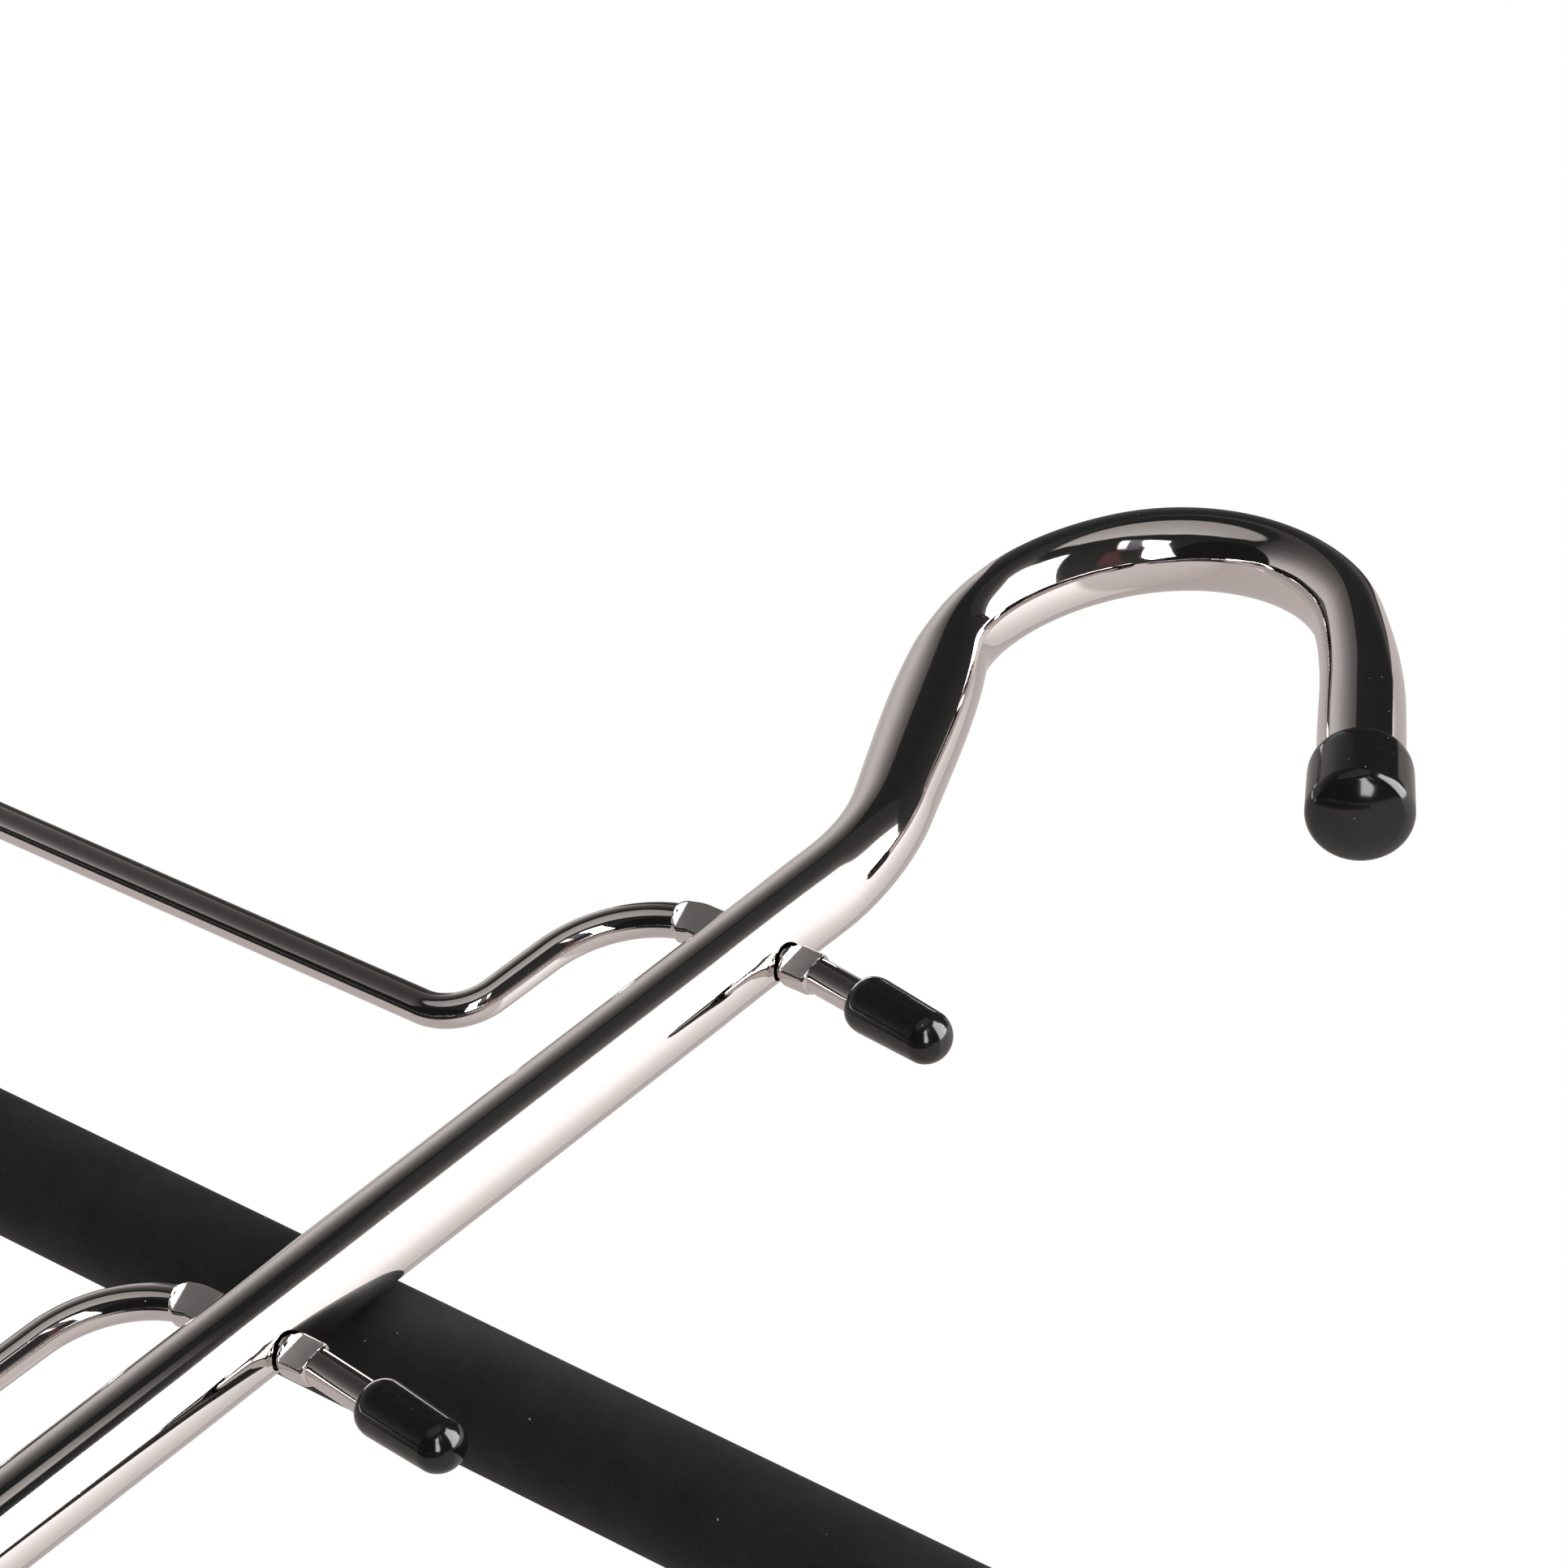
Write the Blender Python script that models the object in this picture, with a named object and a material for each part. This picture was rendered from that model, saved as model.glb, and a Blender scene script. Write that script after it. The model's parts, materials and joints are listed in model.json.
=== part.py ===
"""Trouser hanger with four tiers of swinging arms, at real size in metres.

A chromed tube is both the spine and the hook. Four bent wire arms pass through
cross holes in the spine and are trapped there by a crimp on each side. Each arm
runs out to the left, turns back under itself and carries a foam sleeve, the bar
that trousers hang over, whose right-hand end is open.

The origin is where the hook sits on a rail: the highest point of its inside.
+Z is up, +X is towards the open ends of the bars, and -Y faces the viewer, with
the bars behind the spine.
"""
import math

import bmesh
import bpy
from mathutils import Matrix, Vector

# Spine and hook, one chromed steel tube
TIERS = 4
TUBE_DIAMETER = 0.0100
TUBE_WALL = 0.0010
TIER_PITCH = 0.0806
SPINE_ABOVE_TOP_PIVOT = 0.0122
NECK_BEND_RADIUS = 0.0380
NECK_LEAN = math.radians(26.5)
NECK_LENGTH = 0.0275
HOOK_SIDE_RADIUS = 0.0283
HOOK_SIDE_TURN = math.radians(63.0)
HOOK_TOP_RADIUS = 0.0212
HOOK_TOP_TURN = math.radians(97.0)
HOOK_LIP_RADIUS = 0.0880
HOOK_LIP_TURN = math.radians(10.7)
HOOK_TIP_LENGTH = 0.0202

# Bending draws the tube's sides in and lets it swell a little across the bend.
# Each table has one share of that for each step round a bend.
BEND_SQUEEZE = 0.00095
BEND_SWELL = 0.0001
NECK_SQUEEZE_SHARES = (0.25, 0.40, 0.40, 0.30)
NECK_TOP_SQUEEZE_SHARE = 0.40
SIDE_SQUEEZE_SHARES = (0.90, 1.00, 0.90, 0.70, 0.50, 0.35, 0.20)
TOP_SQUEEZE_SHARES = (0.15, 0.25, 0.45, 0.65, 0.85, 1.00, 1.00, 0.95, 0.85, 0.80, 0.75)
LIP_SQUEEZE_SHARES = (0.35, 0.00)

# Dents that the punch leaves round each cross hole
DENT_DEPTH = 0.00025
DENT_REACH = 0.0120
DENT_STATION_SHARES = (-1.0, -0.6, -0.3, 0.0, 0.3, 0.6, 1.0)

# Arm wire, and where it bends: distances from the pivot, in the arm's plane.
# The setback is how far behind the tube's centreline its cross holes are drilled.
WIRE_DIAMETER = 0.0040
PIVOT_CLEARANCE = 0.0003
PIVOT_SETBACK = 0.00045
STUB_BEND_AT = 0.0094
STUB_BEND_RADIUS = 0.0060
STUB_DROOP = math.radians(5.8)
STUB_TIP_AT = 0.0290
SHOULDER_AT = 0.0083
SHOULDER_RADIUS = 0.0040
SHOULDER_DROOP = math.radians(17.0)
CRANK_FOOT_AT = 0.0183
CRANK_LEAN = math.radians(11.0)
CRANK_TOP_RADIUS = 0.0150
CRANK_FOOT_RADIUS = 0.0065
RUN_DROP = 0.0247
RUN_FALL = math.radians(0.6)
ARM_REACH = 0.1760
ARM_CORNER_RADIUS = 0.0140
BAR_DROP = 0.0658
BAR_TIP_AT = 0.1780

# Crimps that trap the wire in the spine
CRIMP_THICKNESS = 0.0026
CRIMP_WIDTH = 0.0049
CRIMP_RIGHT_LENGTH = 0.0038
CRIMP_LEFT_LENGTH = 0.0054
CRIMP_RAMP = 0.0008
CRIMP_RIGHT_GAP = 0.0003
CRIMP_LEFT_GAP = 0.0004

# Foam sleeve on the lower run
SLEEVE_DIAMETER = 0.0146
SLEEVE_EDGE_RADIUS = 0.0012
SLEEVE_SETBACK = 0.0030

# Vinyl caps, dipped to a wall and pushed over the cut ends
FIT_GAP = 0.0003
WIRE_CAP_RIM_WALL = 0.0011
WIRE_CAP_TIP_WALL = 0.00075
WIRE_CAP_LENGTH = 0.0129
WIRE_CAP_RIM_RADIUS = 0.0008
WIRE_CAP_DOME_HEIGHT = 0.0030
TUBE_CAP_RIM_WALL = 0.00075
TUBE_CAP_TIP_WALL = 0.00095
TUBE_CAP_LENGTH = 0.0125
TUBE_CAP_RIM_RADIUS = 0.0005
TUBE_CAP_DOME_HEIGHT = 0.0034
TAIL_CAP_CLEARANCE = 0.0015

# Facets
TUBE_SIDES = 20
WIRE_SIDES = 12
SLEEVE_SIDES = 20
WIRE_CAP_SIDES = 14
TUBE_CAP_SIDES = 20
HOLE_SIDES = 16
DOME_STEPS = 4
INNER_DOME_STEPS = 2
EDGE_STEPS = 2
CRIMP_RAMP_STEPS = 2
SLIGHT_BEND_STEPS = 2
CRANK_STEPS = 6
CORNER_STEPS = 7
SMOOTH_BELOW = math.radians(40.0)

# Sizes that follow from the ones above
tube_radius = TUBE_DIAMETER / 2
bore_radius = tube_radius - TUBE_WALL
wire_radius = WIRE_DIAMETER / 2
sleeve_radius = SLEEVE_DIAMETER / 2
hole_radius = wire_radius + PIVOT_CLEARANCE
rest_tilt = math.asin((tube_radius + FIT_GAP + sleeve_radius - PIVOT_SETBACK) / BAR_DROP)
bar_height = BAR_DROP * math.cos(rest_tilt)
dented_radius = tube_radius - DENT_DEPTH
tube_cap_cover = TUBE_CAP_LENGTH - TUBE_CAP_DOME_HEIGHT - FIT_GAP
wire_cap_cover = WIRE_CAP_LENGTH - WIRE_CAP_DOME_HEIGHT - FIT_GAP
tail_length = bar_height + sleeve_radius + TAIL_CAP_CLEARANCE + tube_cap_cover


def clear_scene():
    for item in list(bpy.data.objects):
        bpy.data.objects.remove(item, do_unlink=True)


def material(name, colour, roughness, metallic):
    made = bpy.data.materials.new(name)
    made.use_nodes = True
    shader = made.node_tree.nodes["Principled BSDF"]
    shader.inputs["Base Color"].default_value = (*colour, 1.0)
    shader.inputs["Roughness"].default_value = roughness
    shader.inputs["Metallic"].default_value = metallic
    return made


def heading_vector(heading):
    """Unit step in the drawing plane. Heading 0 is right, a quarter turn is up."""
    return Vector((math.cos(heading), math.sin(heading)))


class Route:
    """A centreline drawn in a plane as straight runs and arcs, each point with its heading."""

    def __init__(self, start, heading):
        self.stations = [(Vector(start), heading)]
        self.arc_centre = None

    def straight(self, length):
        point, heading = self.stations[-1]
        self.stations.append((point + length * heading_vector(heading), heading))

    def arc(self, radius, turn, steps):
        """Turn left by a positive angle, or right by a negative one."""
        point, heading = self.stations[-1]
        side = math.copysign(1.0, turn)
        to_centre = heading_vector(heading + side * math.pi / 2)
        self.arc_centre = point + radius * to_centre
        for step in range(1, steps + 1):
            swept = heading + turn * step / steps
            outward = heading_vector(swept - side * math.pi / 2)
            self.stations.append((self.arc_centre + radius * outward, swept))


def rounded_route(corners, radii, steps):
    """The line through the corners, each inner corner rounded to its own radius."""
    first_leg = corners[1] - corners[0]
    route = [(corners[0], math.atan2(first_leg.y, first_leg.x))]
    for before, corner, after, radius, count in zip(corners, corners[1:], corners[2:], radii, steps):
        leg_in = (corner - before).normalized()
        leg_out = (after - corner).normalized()
        heading = math.atan2(leg_in.y, leg_in.x)
        turn = math.atan2(leg_in.x * leg_out.y - leg_in.y * leg_out.x, leg_in.dot(leg_out))
        start = corner - leg_in * radius * math.tan(abs(turn) / 2)
        bend = Route(start, heading)
        bend.arc(radius, turn, count)
        route.extend(bend.stations)
    last_leg = corners[-1] - corners[-2]
    route.append((corners[-1], math.atan2(last_leg.y, last_leg.x)))
    return route


def ring(point, heading, half_width, half_height, sides, clip=None):
    """A ring round a centreline in the XZ plane: wide in the plane, high across it.

    A clip below the half height presses the ring's front and back flat.
    """
    along = heading_vector(heading)
    across = Vector((-along.y, 0.0, along.x))
    centre = Vector((point.x, 0.0, point.y))
    corners = []
    for side in range(sides):
        angle = 2 * math.pi * side / sides
        depth = half_height * math.sin(angle)
        if clip is not None:
            depth = max(-clip, min(clip, depth))
        corners.append(centre + across * half_width * math.cos(angle) + Vector((0.0, depth, 0.0)))
    return corners


def mesh_from(bm, name):
    bmesh.ops.recalc_face_normals(bm, faces=bm.faces)
    if bm.calc_volume(signed=True) < 0:
        bmesh.ops.reverse_faces(bm, faces=bm.faces)
    mesh = bpy.data.meshes.new(name)
    bm.to_mesh(mesh)
    bm.free()
    mesh.shade_smooth()
    mesh.set_sharp_from_angle(angle=SMOOTH_BELOW)
    return mesh


def lofted(name, rings, hollow=False):
    """A skin over the rings. A hollow piece's last ring joins its first one."""
    bm = bmesh.new()
    loops = [[bm.verts.new(corner) for corner in corners] for corners in rings]
    following = loops[1:] + loops[:1] if hollow else loops[1:]
    for near, far in zip(loops, following):
        for side in range(len(near)):
            other = (side + 1) % len(near)
            bm.faces.new((near[side], near[other], far[other], far[side]))
    if not hollow:
        bm.faces.new(loops[0])
        bm.faces.new(loops[-1])
    return mesh_from(bm, name)


def turned(name, profile, sides):
    """A profile of (radius, distance along +X) points turned about the X axis.

    A point of radius 0 is a pole. A profile with no pole is closed on itself.
    """
    bm = bmesh.new()
    loops = []
    for radius, along in profile:
        if radius == 0:
            loops.append([bm.verts.new((along, 0.0, 0.0))])
            continue
        angles = [2 * math.pi * side / sides for side in range(sides)]
        loops.append([bm.verts.new((along, radius * math.cos(a), radius * math.sin(a))) for a in angles])
    following = loops[1:] if profile[0][0] == 0 else loops[1:] + loops[:1]
    for near, far in zip(loops, following):
        for side in range(sides):
            other = (side + 1) % sides
            corners = [near[side % len(near)], near[other % len(near)]]
            corners += [far[other % len(far)], far[side % len(far)]]
            bm.faces.new(list(dict.fromkeys(corners)))
    return mesh_from(bm, name)


def quarter_round(radius, along, radius_size, start, steps):
    """Points on a quarter circle from a start angle, about a centre at (radius, along)."""
    points = []
    for step in range(steps + 1):
        angle = start + math.pi / 2 * step / steps
        points.append((radius + radius_size * math.sin(angle), along - radius_size * math.cos(angle)))
    return points


def piece(name, mesh, finish, parent, place=None):
    made = bpy.data.objects.new(name, mesh)
    bpy.context.scene.collection.objects.link(made)
    if not mesh.materials:
        mesh.materials.append(finish)
    made.parent = parent
    if place is not None:
        made.matrix_local = place
    return made


def pivot_height(tier):
    """Height of a tier's pivot above the top one, which is tier 1."""
    return -(tier - 1) * TIER_PITCH


def spine_route():
    """The tube's centreline in the XZ plane, from the tail to the hook's tip, with the top pivot at 0.

    Given with it are each station's share of the squeeze, and the rail's seat.
    """
    tail_end = pivot_height(TIERS) - tail_length
    route = Route((0.0, tail_end), math.pi / 2)
    for tier in range(TIERS, 0, -1):
        for share in DENT_STATION_SHARES:
            height = pivot_height(tier) + share * DENT_REACH
            route.straight(height - route.stations[-1][0].y)
    route.straight(SPINE_ABOVE_TOP_PIVOT - route.stations[-1][0].y)
    squeezes = [0.0] * len(route.stations)
    route.arc(NECK_BEND_RADIUS, NECK_LEAN, len(NECK_SQUEEZE_SHARES))
    route.straight(NECK_LENGTH)
    route.arc(HOOK_SIDE_RADIUS, -HOOK_SIDE_TURN, len(SIDE_SQUEEZE_SHARES))
    route.arc(HOOK_TOP_RADIUS, -HOOK_TOP_TURN, len(TOP_SQUEEZE_SHARES))
    seat = route.arc_centre + Vector((0.0, HOOK_TOP_RADIUS - tube_radius + BEND_SQUEEZE))
    route.arc(HOOK_LIP_RADIUS, -HOOK_LIP_TURN, len(LIP_SQUEEZE_SHARES))
    route.straight(HOOK_TIP_LENGTH)
    squeezes += [*NECK_SQUEEZE_SHARES, NECK_TOP_SQUEEZE_SHARE]
    squeezes += [*SIDE_SQUEEZE_SHARES, *TOP_SQUEEZE_SHARES, *LIP_SQUEEZE_SHARES, 0.0]
    return route.stations, squeezes, seat


def dent_depth(height):
    """How far the tube's side is pressed in at a height, near any pivot."""
    depth = 0.0
    for tier in range(1, TIERS + 1):
        away = abs(height - pivot_height(tier)) / DENT_REACH
        if away < 1:
            depth += DENT_DEPTH * (1 - away ** 2) ** 2
    return depth


def tube_ring(station, squeeze, radius):
    """A ring of the tube, drawn in by its share of the squeeze."""
    point, heading = station
    return ring(point, heading, radius - squeeze * BEND_SQUEEZE, radius + squeeze * BEND_SWELL, TUBE_SIDES)


def spine_mesh(stations, squeezes):
    """The tube, with its bore open at both ends and its sides dented at the pivots."""
    outer = []
    for station, squeeze in zip(stations, squeezes):
        point = station[0]
        corners = tube_ring(station, squeeze, tube_radius)
        pressed = dent_depth(point.y)
        for corner in corners:
            side_share = (corner.x - point.x) / tube_radius
            corner.x -= pressed * side_share ** 3
        outer.append(corners)
    bends_start = len(DENT_STATION_SHARES) * TIERS + 1
    inner = [tube_ring(stations[0], 0.0, bore_radius)]
    for station, squeeze in zip(stations[bends_start:], squeezes[bends_start:]):
        inner.append(tube_ring(station, squeeze, bore_radius))
    return lofted("hook_spine", outer + inner[::-1], hollow=True)


def drill(target, tier, finish):
    """A cross hole for one tier's wire, right through the tube along X."""
    bm = bmesh.new()
    span = Matrix.Rotation(math.pi / 2, 4, "Y")
    bmesh.ops.create_cone(bm, cap_ends=True, segments=HOLE_SIDES, radius1=hole_radius, radius2=hole_radius,
                          depth=2 * TUBE_DIAMETER, matrix=span)
    cutter = piece(f"hole_cutter_{tier}", mesh_from(bm, f"hole_cutter_{tier}"), finish, target.parent)
    cutter.location = (0.0, PIVOT_SETBACK, pivot_height(tier))
    cutter.hide_render = True
    cutter.display_type = "WIRE"
    cut = target.modifiers.new(f"hole_{tier}", "BOOLEAN")
    cut.operation = "DIFFERENCE"
    cut.solver = "EXACT"
    cut.object = cutter


def stub_corners():
    """The wire's right-hand end, from the pivot out to where its cap begins to close."""
    bend = Vector((STUB_BEND_AT, 0.0))
    along = heading_vector(-STUB_DROOP)
    wire_end = STUB_TIP_AT - WIRE_CAP_DOME_HEIGHT - FIT_GAP - STUB_BEND_AT
    return [Vector((0.0, 0.0)), bend, bend + along * wire_end / along.x]


def arm_corners():
    """The wire's left-hand side in the arm's plane, from the pivot round to the bar's open end."""
    shoulder = Vector((-SHOULDER_AT, 0.0))
    droop = heading_vector(math.pi + SHOULDER_DROOP)
    leg = Vector((-math.sin(CRANK_LEAN), -math.cos(CRANK_LEAN)))
    foot_start = Vector((-CRANK_FOOT_AT, 0.0))
    gap = foot_start - shoulder
    reach = (gap.x * leg.y - gap.y * leg.x) / (droop.x * leg.y - droop.y * leg.x)
    crank_top = shoulder + droop * reach
    foot = foot_start + leg * RUN_DROP / -leg.y
    run_left = -ARM_REACH - foot.x
    far_top = foot + Vector((run_left, run_left * math.tan(RUN_FALL)))
    far_bottom = Vector((-ARM_REACH, -BAR_DROP))
    wire_end = BAR_TIP_AT - WIRE_CAP_DOME_HEIGHT - FIT_GAP
    return [Vector((0.0, 0.0)), shoulder, crank_top, foot, far_top, far_bottom, Vector((wire_end, -BAR_DROP))]


def crimped_rings(route, start, length, turn):
    """Rings of the wire along a route, pressed flat for a length from a start distance.

    The turn matches the rings of one half of the arm to the other's.
    """
    ramp = [CRIMP_RAMP * step / CRIMP_RAMP_STEPS for step in range(CRIMP_RAMP_STEPS + 1)]
    marks = [start + at for at in ramp] + [start + length - at for at in ramp[::-1]]
    stations = []
    gone = 0.0
    for (near, near_heading), (far, _) in zip(route, route[1:]):
        leg = far - near
        stations.append((near, near_heading, gone))
        for mark in marks:
            if gone < mark < gone + leg.length:
                at = near + leg.normalized() * (mark - gone)
                stations.append((at, math.atan2(leg.y, leg.x), mark))
        gone += leg.length
    stations.append((*route[-1], gone))

    rings = []
    for point, heading, at in stations:
        into_crimp = max(0.0, min(at - start, start + length - at, CRIMP_RAMP))
        pressed = math.sin(into_crimp / CRIMP_RAMP * math.pi / 2)
        half_width = wire_radius + pressed * (CRIMP_WIDTH / 2 - wire_radius)
        clip = wire_radius + pressed * (CRIMP_THICKNESS / 2 - wire_radius)
        rings.append(ring(point, heading + turn, half_width, half_width, WIRE_SIDES, clip))
    return rings


def wire_mesh():
    """One arm: round wire, bent in a plane, with the two crimps pressed into it."""
    stub = rounded_route(stub_corners(), [STUB_BEND_RADIUS], [SLIGHT_BEND_STEPS])
    arm_radii = [SHOULDER_RADIUS, CRANK_TOP_RADIUS, CRANK_FOOT_RADIUS, ARM_CORNER_RADIUS, ARM_CORNER_RADIUS]
    arm_steps = [SLIGHT_BEND_STEPS, CRANK_STEPS, CRANK_STEPS, CORNER_STEPS, CORNER_STEPS]
    arm = rounded_route(arm_corners(), arm_radii, arm_steps)
    right = crimped_rings(stub, dented_radius + CRIMP_RIGHT_GAP, CRIMP_RIGHT_LENGTH, math.pi)
    left = crimped_rings(arm, dented_radius + CRIMP_LEFT_GAP, CRIMP_LEFT_LENGTH, 0.0)
    return lofted("arm_wire", right[:0:-1] + left)


def dipped_cap_mesh(name, inner_radius, rim_wall, tip_wall, length, rim_radius, dome_height, sides):
    """A dipped vinyl cap, open at X = 0 and domed inside and out. Its wall changes from rim to tip."""
    shoulder = length - dome_height

    def dome(radius, height, steps):
        angles = [math.pi / 2 * step / steps for step in range(steps)]
        return [(radius * math.cos(a), shoulder + height * math.sin(a)) for a in angles]

    outer = dome(inner_radius + tip_wall, dome_height, DOME_STEPS)
    inner = dome(inner_radius, dome_height - tip_wall, INNER_DOME_STEPS)
    rim = quarter_round(inner_radius + rim_wall - rim_radius, rim_radius, rim_radius, 0.0, EDGE_STEPS)
    profile = [(0, length)] + outer[::-1] + rim[::-1]
    profile += [(inner_radius, 0.0)] + inner + [(0, length - tip_wall)]
    return turned(name, profile, sides)


def sleeve_mesh(length):
    """The foam tube over the lower run, its cut ends softened."""
    edge = SLEEVE_EDGE_RADIUS
    left = quarter_round(sleeve_radius - edge, edge, edge, 0.0, EDGE_STEPS)
    right = [(radius, length - along) for radius, along in left[::-1]]
    bore = wire_radius + FIT_GAP
    profile = [(bore, 0.0)] + left + right + [(bore, length)]
    return turned("foam_sleeve", profile, SLEEVE_SIDES)


def tube_end_place(point, heading):
    """Where a cap sits on the tube's end: its X axis along the tube, its floor just off the cut."""
    mouth = point - tube_cap_cover * heading_vector(heading)
    turn = Matrix.Rotation(-heading, 4, "Y")
    return Matrix.Translation((mouth.x, 0.0, mouth.y)) @ turn


def main():
    clear_scene()
    chrome = material("chrome_plated_steel", (0.80, 0.79, 0.79), 0.06, 1.0)
    vinyl = material("black_dipped_vinyl", (0.010, 0.010, 0.011), 0.16, 0.0)
    foam = material("black_foam_rubber", (0.016, 0.016, 0.017), 0.72, 0.0)

    stations, squeezes, seat = spine_route()
    frame = bpy.data.objects.new("hanger_frame", None)
    bpy.context.scene.collection.objects.link(frame)
    frame.location = (-seat.x, 0.0, -seat.y)

    spine = piece("hook_spine", spine_mesh(stations, squeezes), chrome, frame)
    for tier in range(1, TIERS + 1):
        drill(spine, tier, chrome)

    tube_cap = dipped_cap_mesh("tube_cap", tube_radius + FIT_GAP, TUBE_CAP_RIM_WALL, TUBE_CAP_TIP_WALL,
                               TUBE_CAP_LENGTH, TUBE_CAP_RIM_RADIUS, TUBE_CAP_DOME_HEIGHT, TUBE_CAP_SIDES)
    tip_point, tip_heading = stations[-1]
    tail_point, tail_heading = stations[0]
    piece("hook_cap", tube_cap, vinyl, frame, tube_end_place(tip_point, tip_heading))
    piece("tail_cap", tube_cap, vinyl, frame, tube_end_place(tail_point, tail_heading + math.pi))

    wire = wire_mesh()
    wire_cap = dipped_cap_mesh("wire_cap", wire_radius + FIT_GAP, WIRE_CAP_RIM_WALL, WIRE_CAP_TIP_WALL,
                               WIRE_CAP_LENGTH, WIRE_CAP_RIM_RADIUS, WIRE_CAP_DOME_HEIGHT, WIRE_CAP_SIDES)
    stub_mouth = stub_corners()[-1] - wire_cap_cover * heading_vector(-STUB_DROOP)
    stub_place = Matrix.Translation((stub_mouth.x, 0.0, stub_mouth.y)) @ Matrix.Rotation(STUB_DROOP, 4, "Y")
    sleeve_left = -ARM_REACH + ARM_CORNER_RADIUS + SLEEVE_SETBACK
    sleeve_right = BAR_TIP_AT - WIRE_CAP_LENGTH - FIT_GAP
    sleeve = sleeve_mesh(sleeve_right - sleeve_left)
    sleeve_place = Matrix.Translation((sleeve_left, 0.0, -BAR_DROP))
    bar_end_place = Matrix.Translation((BAR_TIP_AT - WIRE_CAP_LENGTH, 0.0, -BAR_DROP))

    for tier in range(1, TIERS + 1):
        pivot = bpy.data.objects.new(f"arm_pivot_{tier}", None)
        bpy.context.scene.collection.objects.link(pivot)
        pivot.parent = frame
        pivot.location = (0.0, PIVOT_SETBACK, pivot_height(tier))
        pivot.rotation_euler = (rest_tilt, 0.0, 0.0)
        piece(f"arm_wire_{tier}", wire, chrome, pivot)
        piece(f"stub_cap_{tier}", wire_cap, vinyl, pivot, stub_place)
        piece(f"foam_sleeve_{tier}", sleeve, foam, pivot, sleeve_place)
        piece(f"bar_end_cap_{tier}", wire_cap, vinyl, pivot, bar_end_place)

    print(f"top pivot at x {-seat.x:.5f}, z {-seat.y:.5f}, arms tilted {math.degrees(rest_tilt):.2f} degrees")


main()
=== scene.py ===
# %% [markdown]
# # A trouser hanger with four swinging arms
# One chromed tube is both the hook and the spine. Four bent wires swing in cross holes through it, and each
# carries a foam sleeve that trousers hang over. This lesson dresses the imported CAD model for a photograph:
# it rebuilds every piece with smooth, fine surfaces and gives it the finish of the real one.
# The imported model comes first, because every piece here stands where a piece of it stands.

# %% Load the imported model
import json
import math

import bmesh
import bpy
import numpy as np
from mathutils import Matrix, Vector
from mathutils.bvhtree import BVHTree


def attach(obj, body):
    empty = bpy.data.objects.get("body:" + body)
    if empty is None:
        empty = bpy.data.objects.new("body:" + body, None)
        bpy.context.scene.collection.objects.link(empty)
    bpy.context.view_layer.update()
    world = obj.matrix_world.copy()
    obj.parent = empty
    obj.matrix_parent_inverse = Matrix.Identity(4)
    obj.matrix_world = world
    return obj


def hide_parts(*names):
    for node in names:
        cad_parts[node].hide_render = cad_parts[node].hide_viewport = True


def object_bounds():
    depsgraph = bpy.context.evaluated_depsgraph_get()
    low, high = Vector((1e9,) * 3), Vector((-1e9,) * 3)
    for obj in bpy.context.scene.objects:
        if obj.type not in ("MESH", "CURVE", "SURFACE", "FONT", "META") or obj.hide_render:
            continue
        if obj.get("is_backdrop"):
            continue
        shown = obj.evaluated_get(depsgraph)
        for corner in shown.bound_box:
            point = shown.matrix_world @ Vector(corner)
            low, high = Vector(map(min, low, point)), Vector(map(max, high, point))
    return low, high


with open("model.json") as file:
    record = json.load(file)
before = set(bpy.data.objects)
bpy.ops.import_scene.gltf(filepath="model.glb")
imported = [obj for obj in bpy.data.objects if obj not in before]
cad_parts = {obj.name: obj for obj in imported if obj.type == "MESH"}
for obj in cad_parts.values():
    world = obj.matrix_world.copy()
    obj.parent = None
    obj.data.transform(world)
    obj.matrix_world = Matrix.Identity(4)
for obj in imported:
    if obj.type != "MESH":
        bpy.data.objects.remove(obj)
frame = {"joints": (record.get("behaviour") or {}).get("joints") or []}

cad_low, cad_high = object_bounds()
print("CAD box in mm:", [round(1000 * (high - low), 1) for low, high in zip(cad_low, cad_high)])

# %% [markdown]
# ## Sizes
# The tube is 10 mm steel tube and the arms are 4 mm wire. The origin is where the hook sits on its rail.
# The sizes repeat the CAD model's own, so that each dressed piece fits its solid. Two differ by a hair: the
# sleeve is a little slimmer, to stay inside the solid, and the hole a little wider, so that the dark gap
# round the wire shows. At rest each arm leans back until its sleeve lies against the tube.

# %% Sizes of the hanger
MM = 0.001
TIERS = 4
TIER_PITCH = 80.6 * MM
TUBE_RADIUS = 5.0 * MM
TUBE_WALL = 1.0 * MM
WIRE_RADIUS = 2.0 * MM
SLEEVE_SOLID_RADIUS = 7.3 * MM
SLEEVE_RADIUS = SLEEVE_SOLID_RADIUS - 0.03 * MM
HOLE_RADIUS = 2.34 * MM
PIVOT_SETBACK = 0.45 * MM
BAR_DROP = 65.8 * MM
FIT_GAP = 0.3 * MM

hinges = {joint["child"]: Vector(joint["pos_m"]) for joint in frame["joints"]}
TOP_PIVOT = hinges["arm_1"]
spine_x = TOP_PIVOT.x
rest_tilt = math.asin((TUBE_RADIUS + FIT_GAP + SLEEVE_SOLID_RADIUS - PIVOT_SETBACK) / BAR_DROP)
print("top pivot in mm:", [round(1000 * c, 2) for c in TOP_PIVOT], "tilt:", round(math.degrees(rest_tilt), 2))

# %% [markdown]
# ## Helpers for paths
# Tube and wire are both bent from straight stock: a path of straight runs and arcs. Chrome shows every
# unevenness, so a path is cut into many short steps where it bends, and any size that changes along it
# is blended smoothly. A straight line between two sizes would show as a crease in the reflections.

# %% A path that bends
def heading_vector(heading):
    """A step of length 1 in a direction, counted in radians from +X."""
    return np.array([math.cos(heading), math.sin(heading)])


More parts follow.
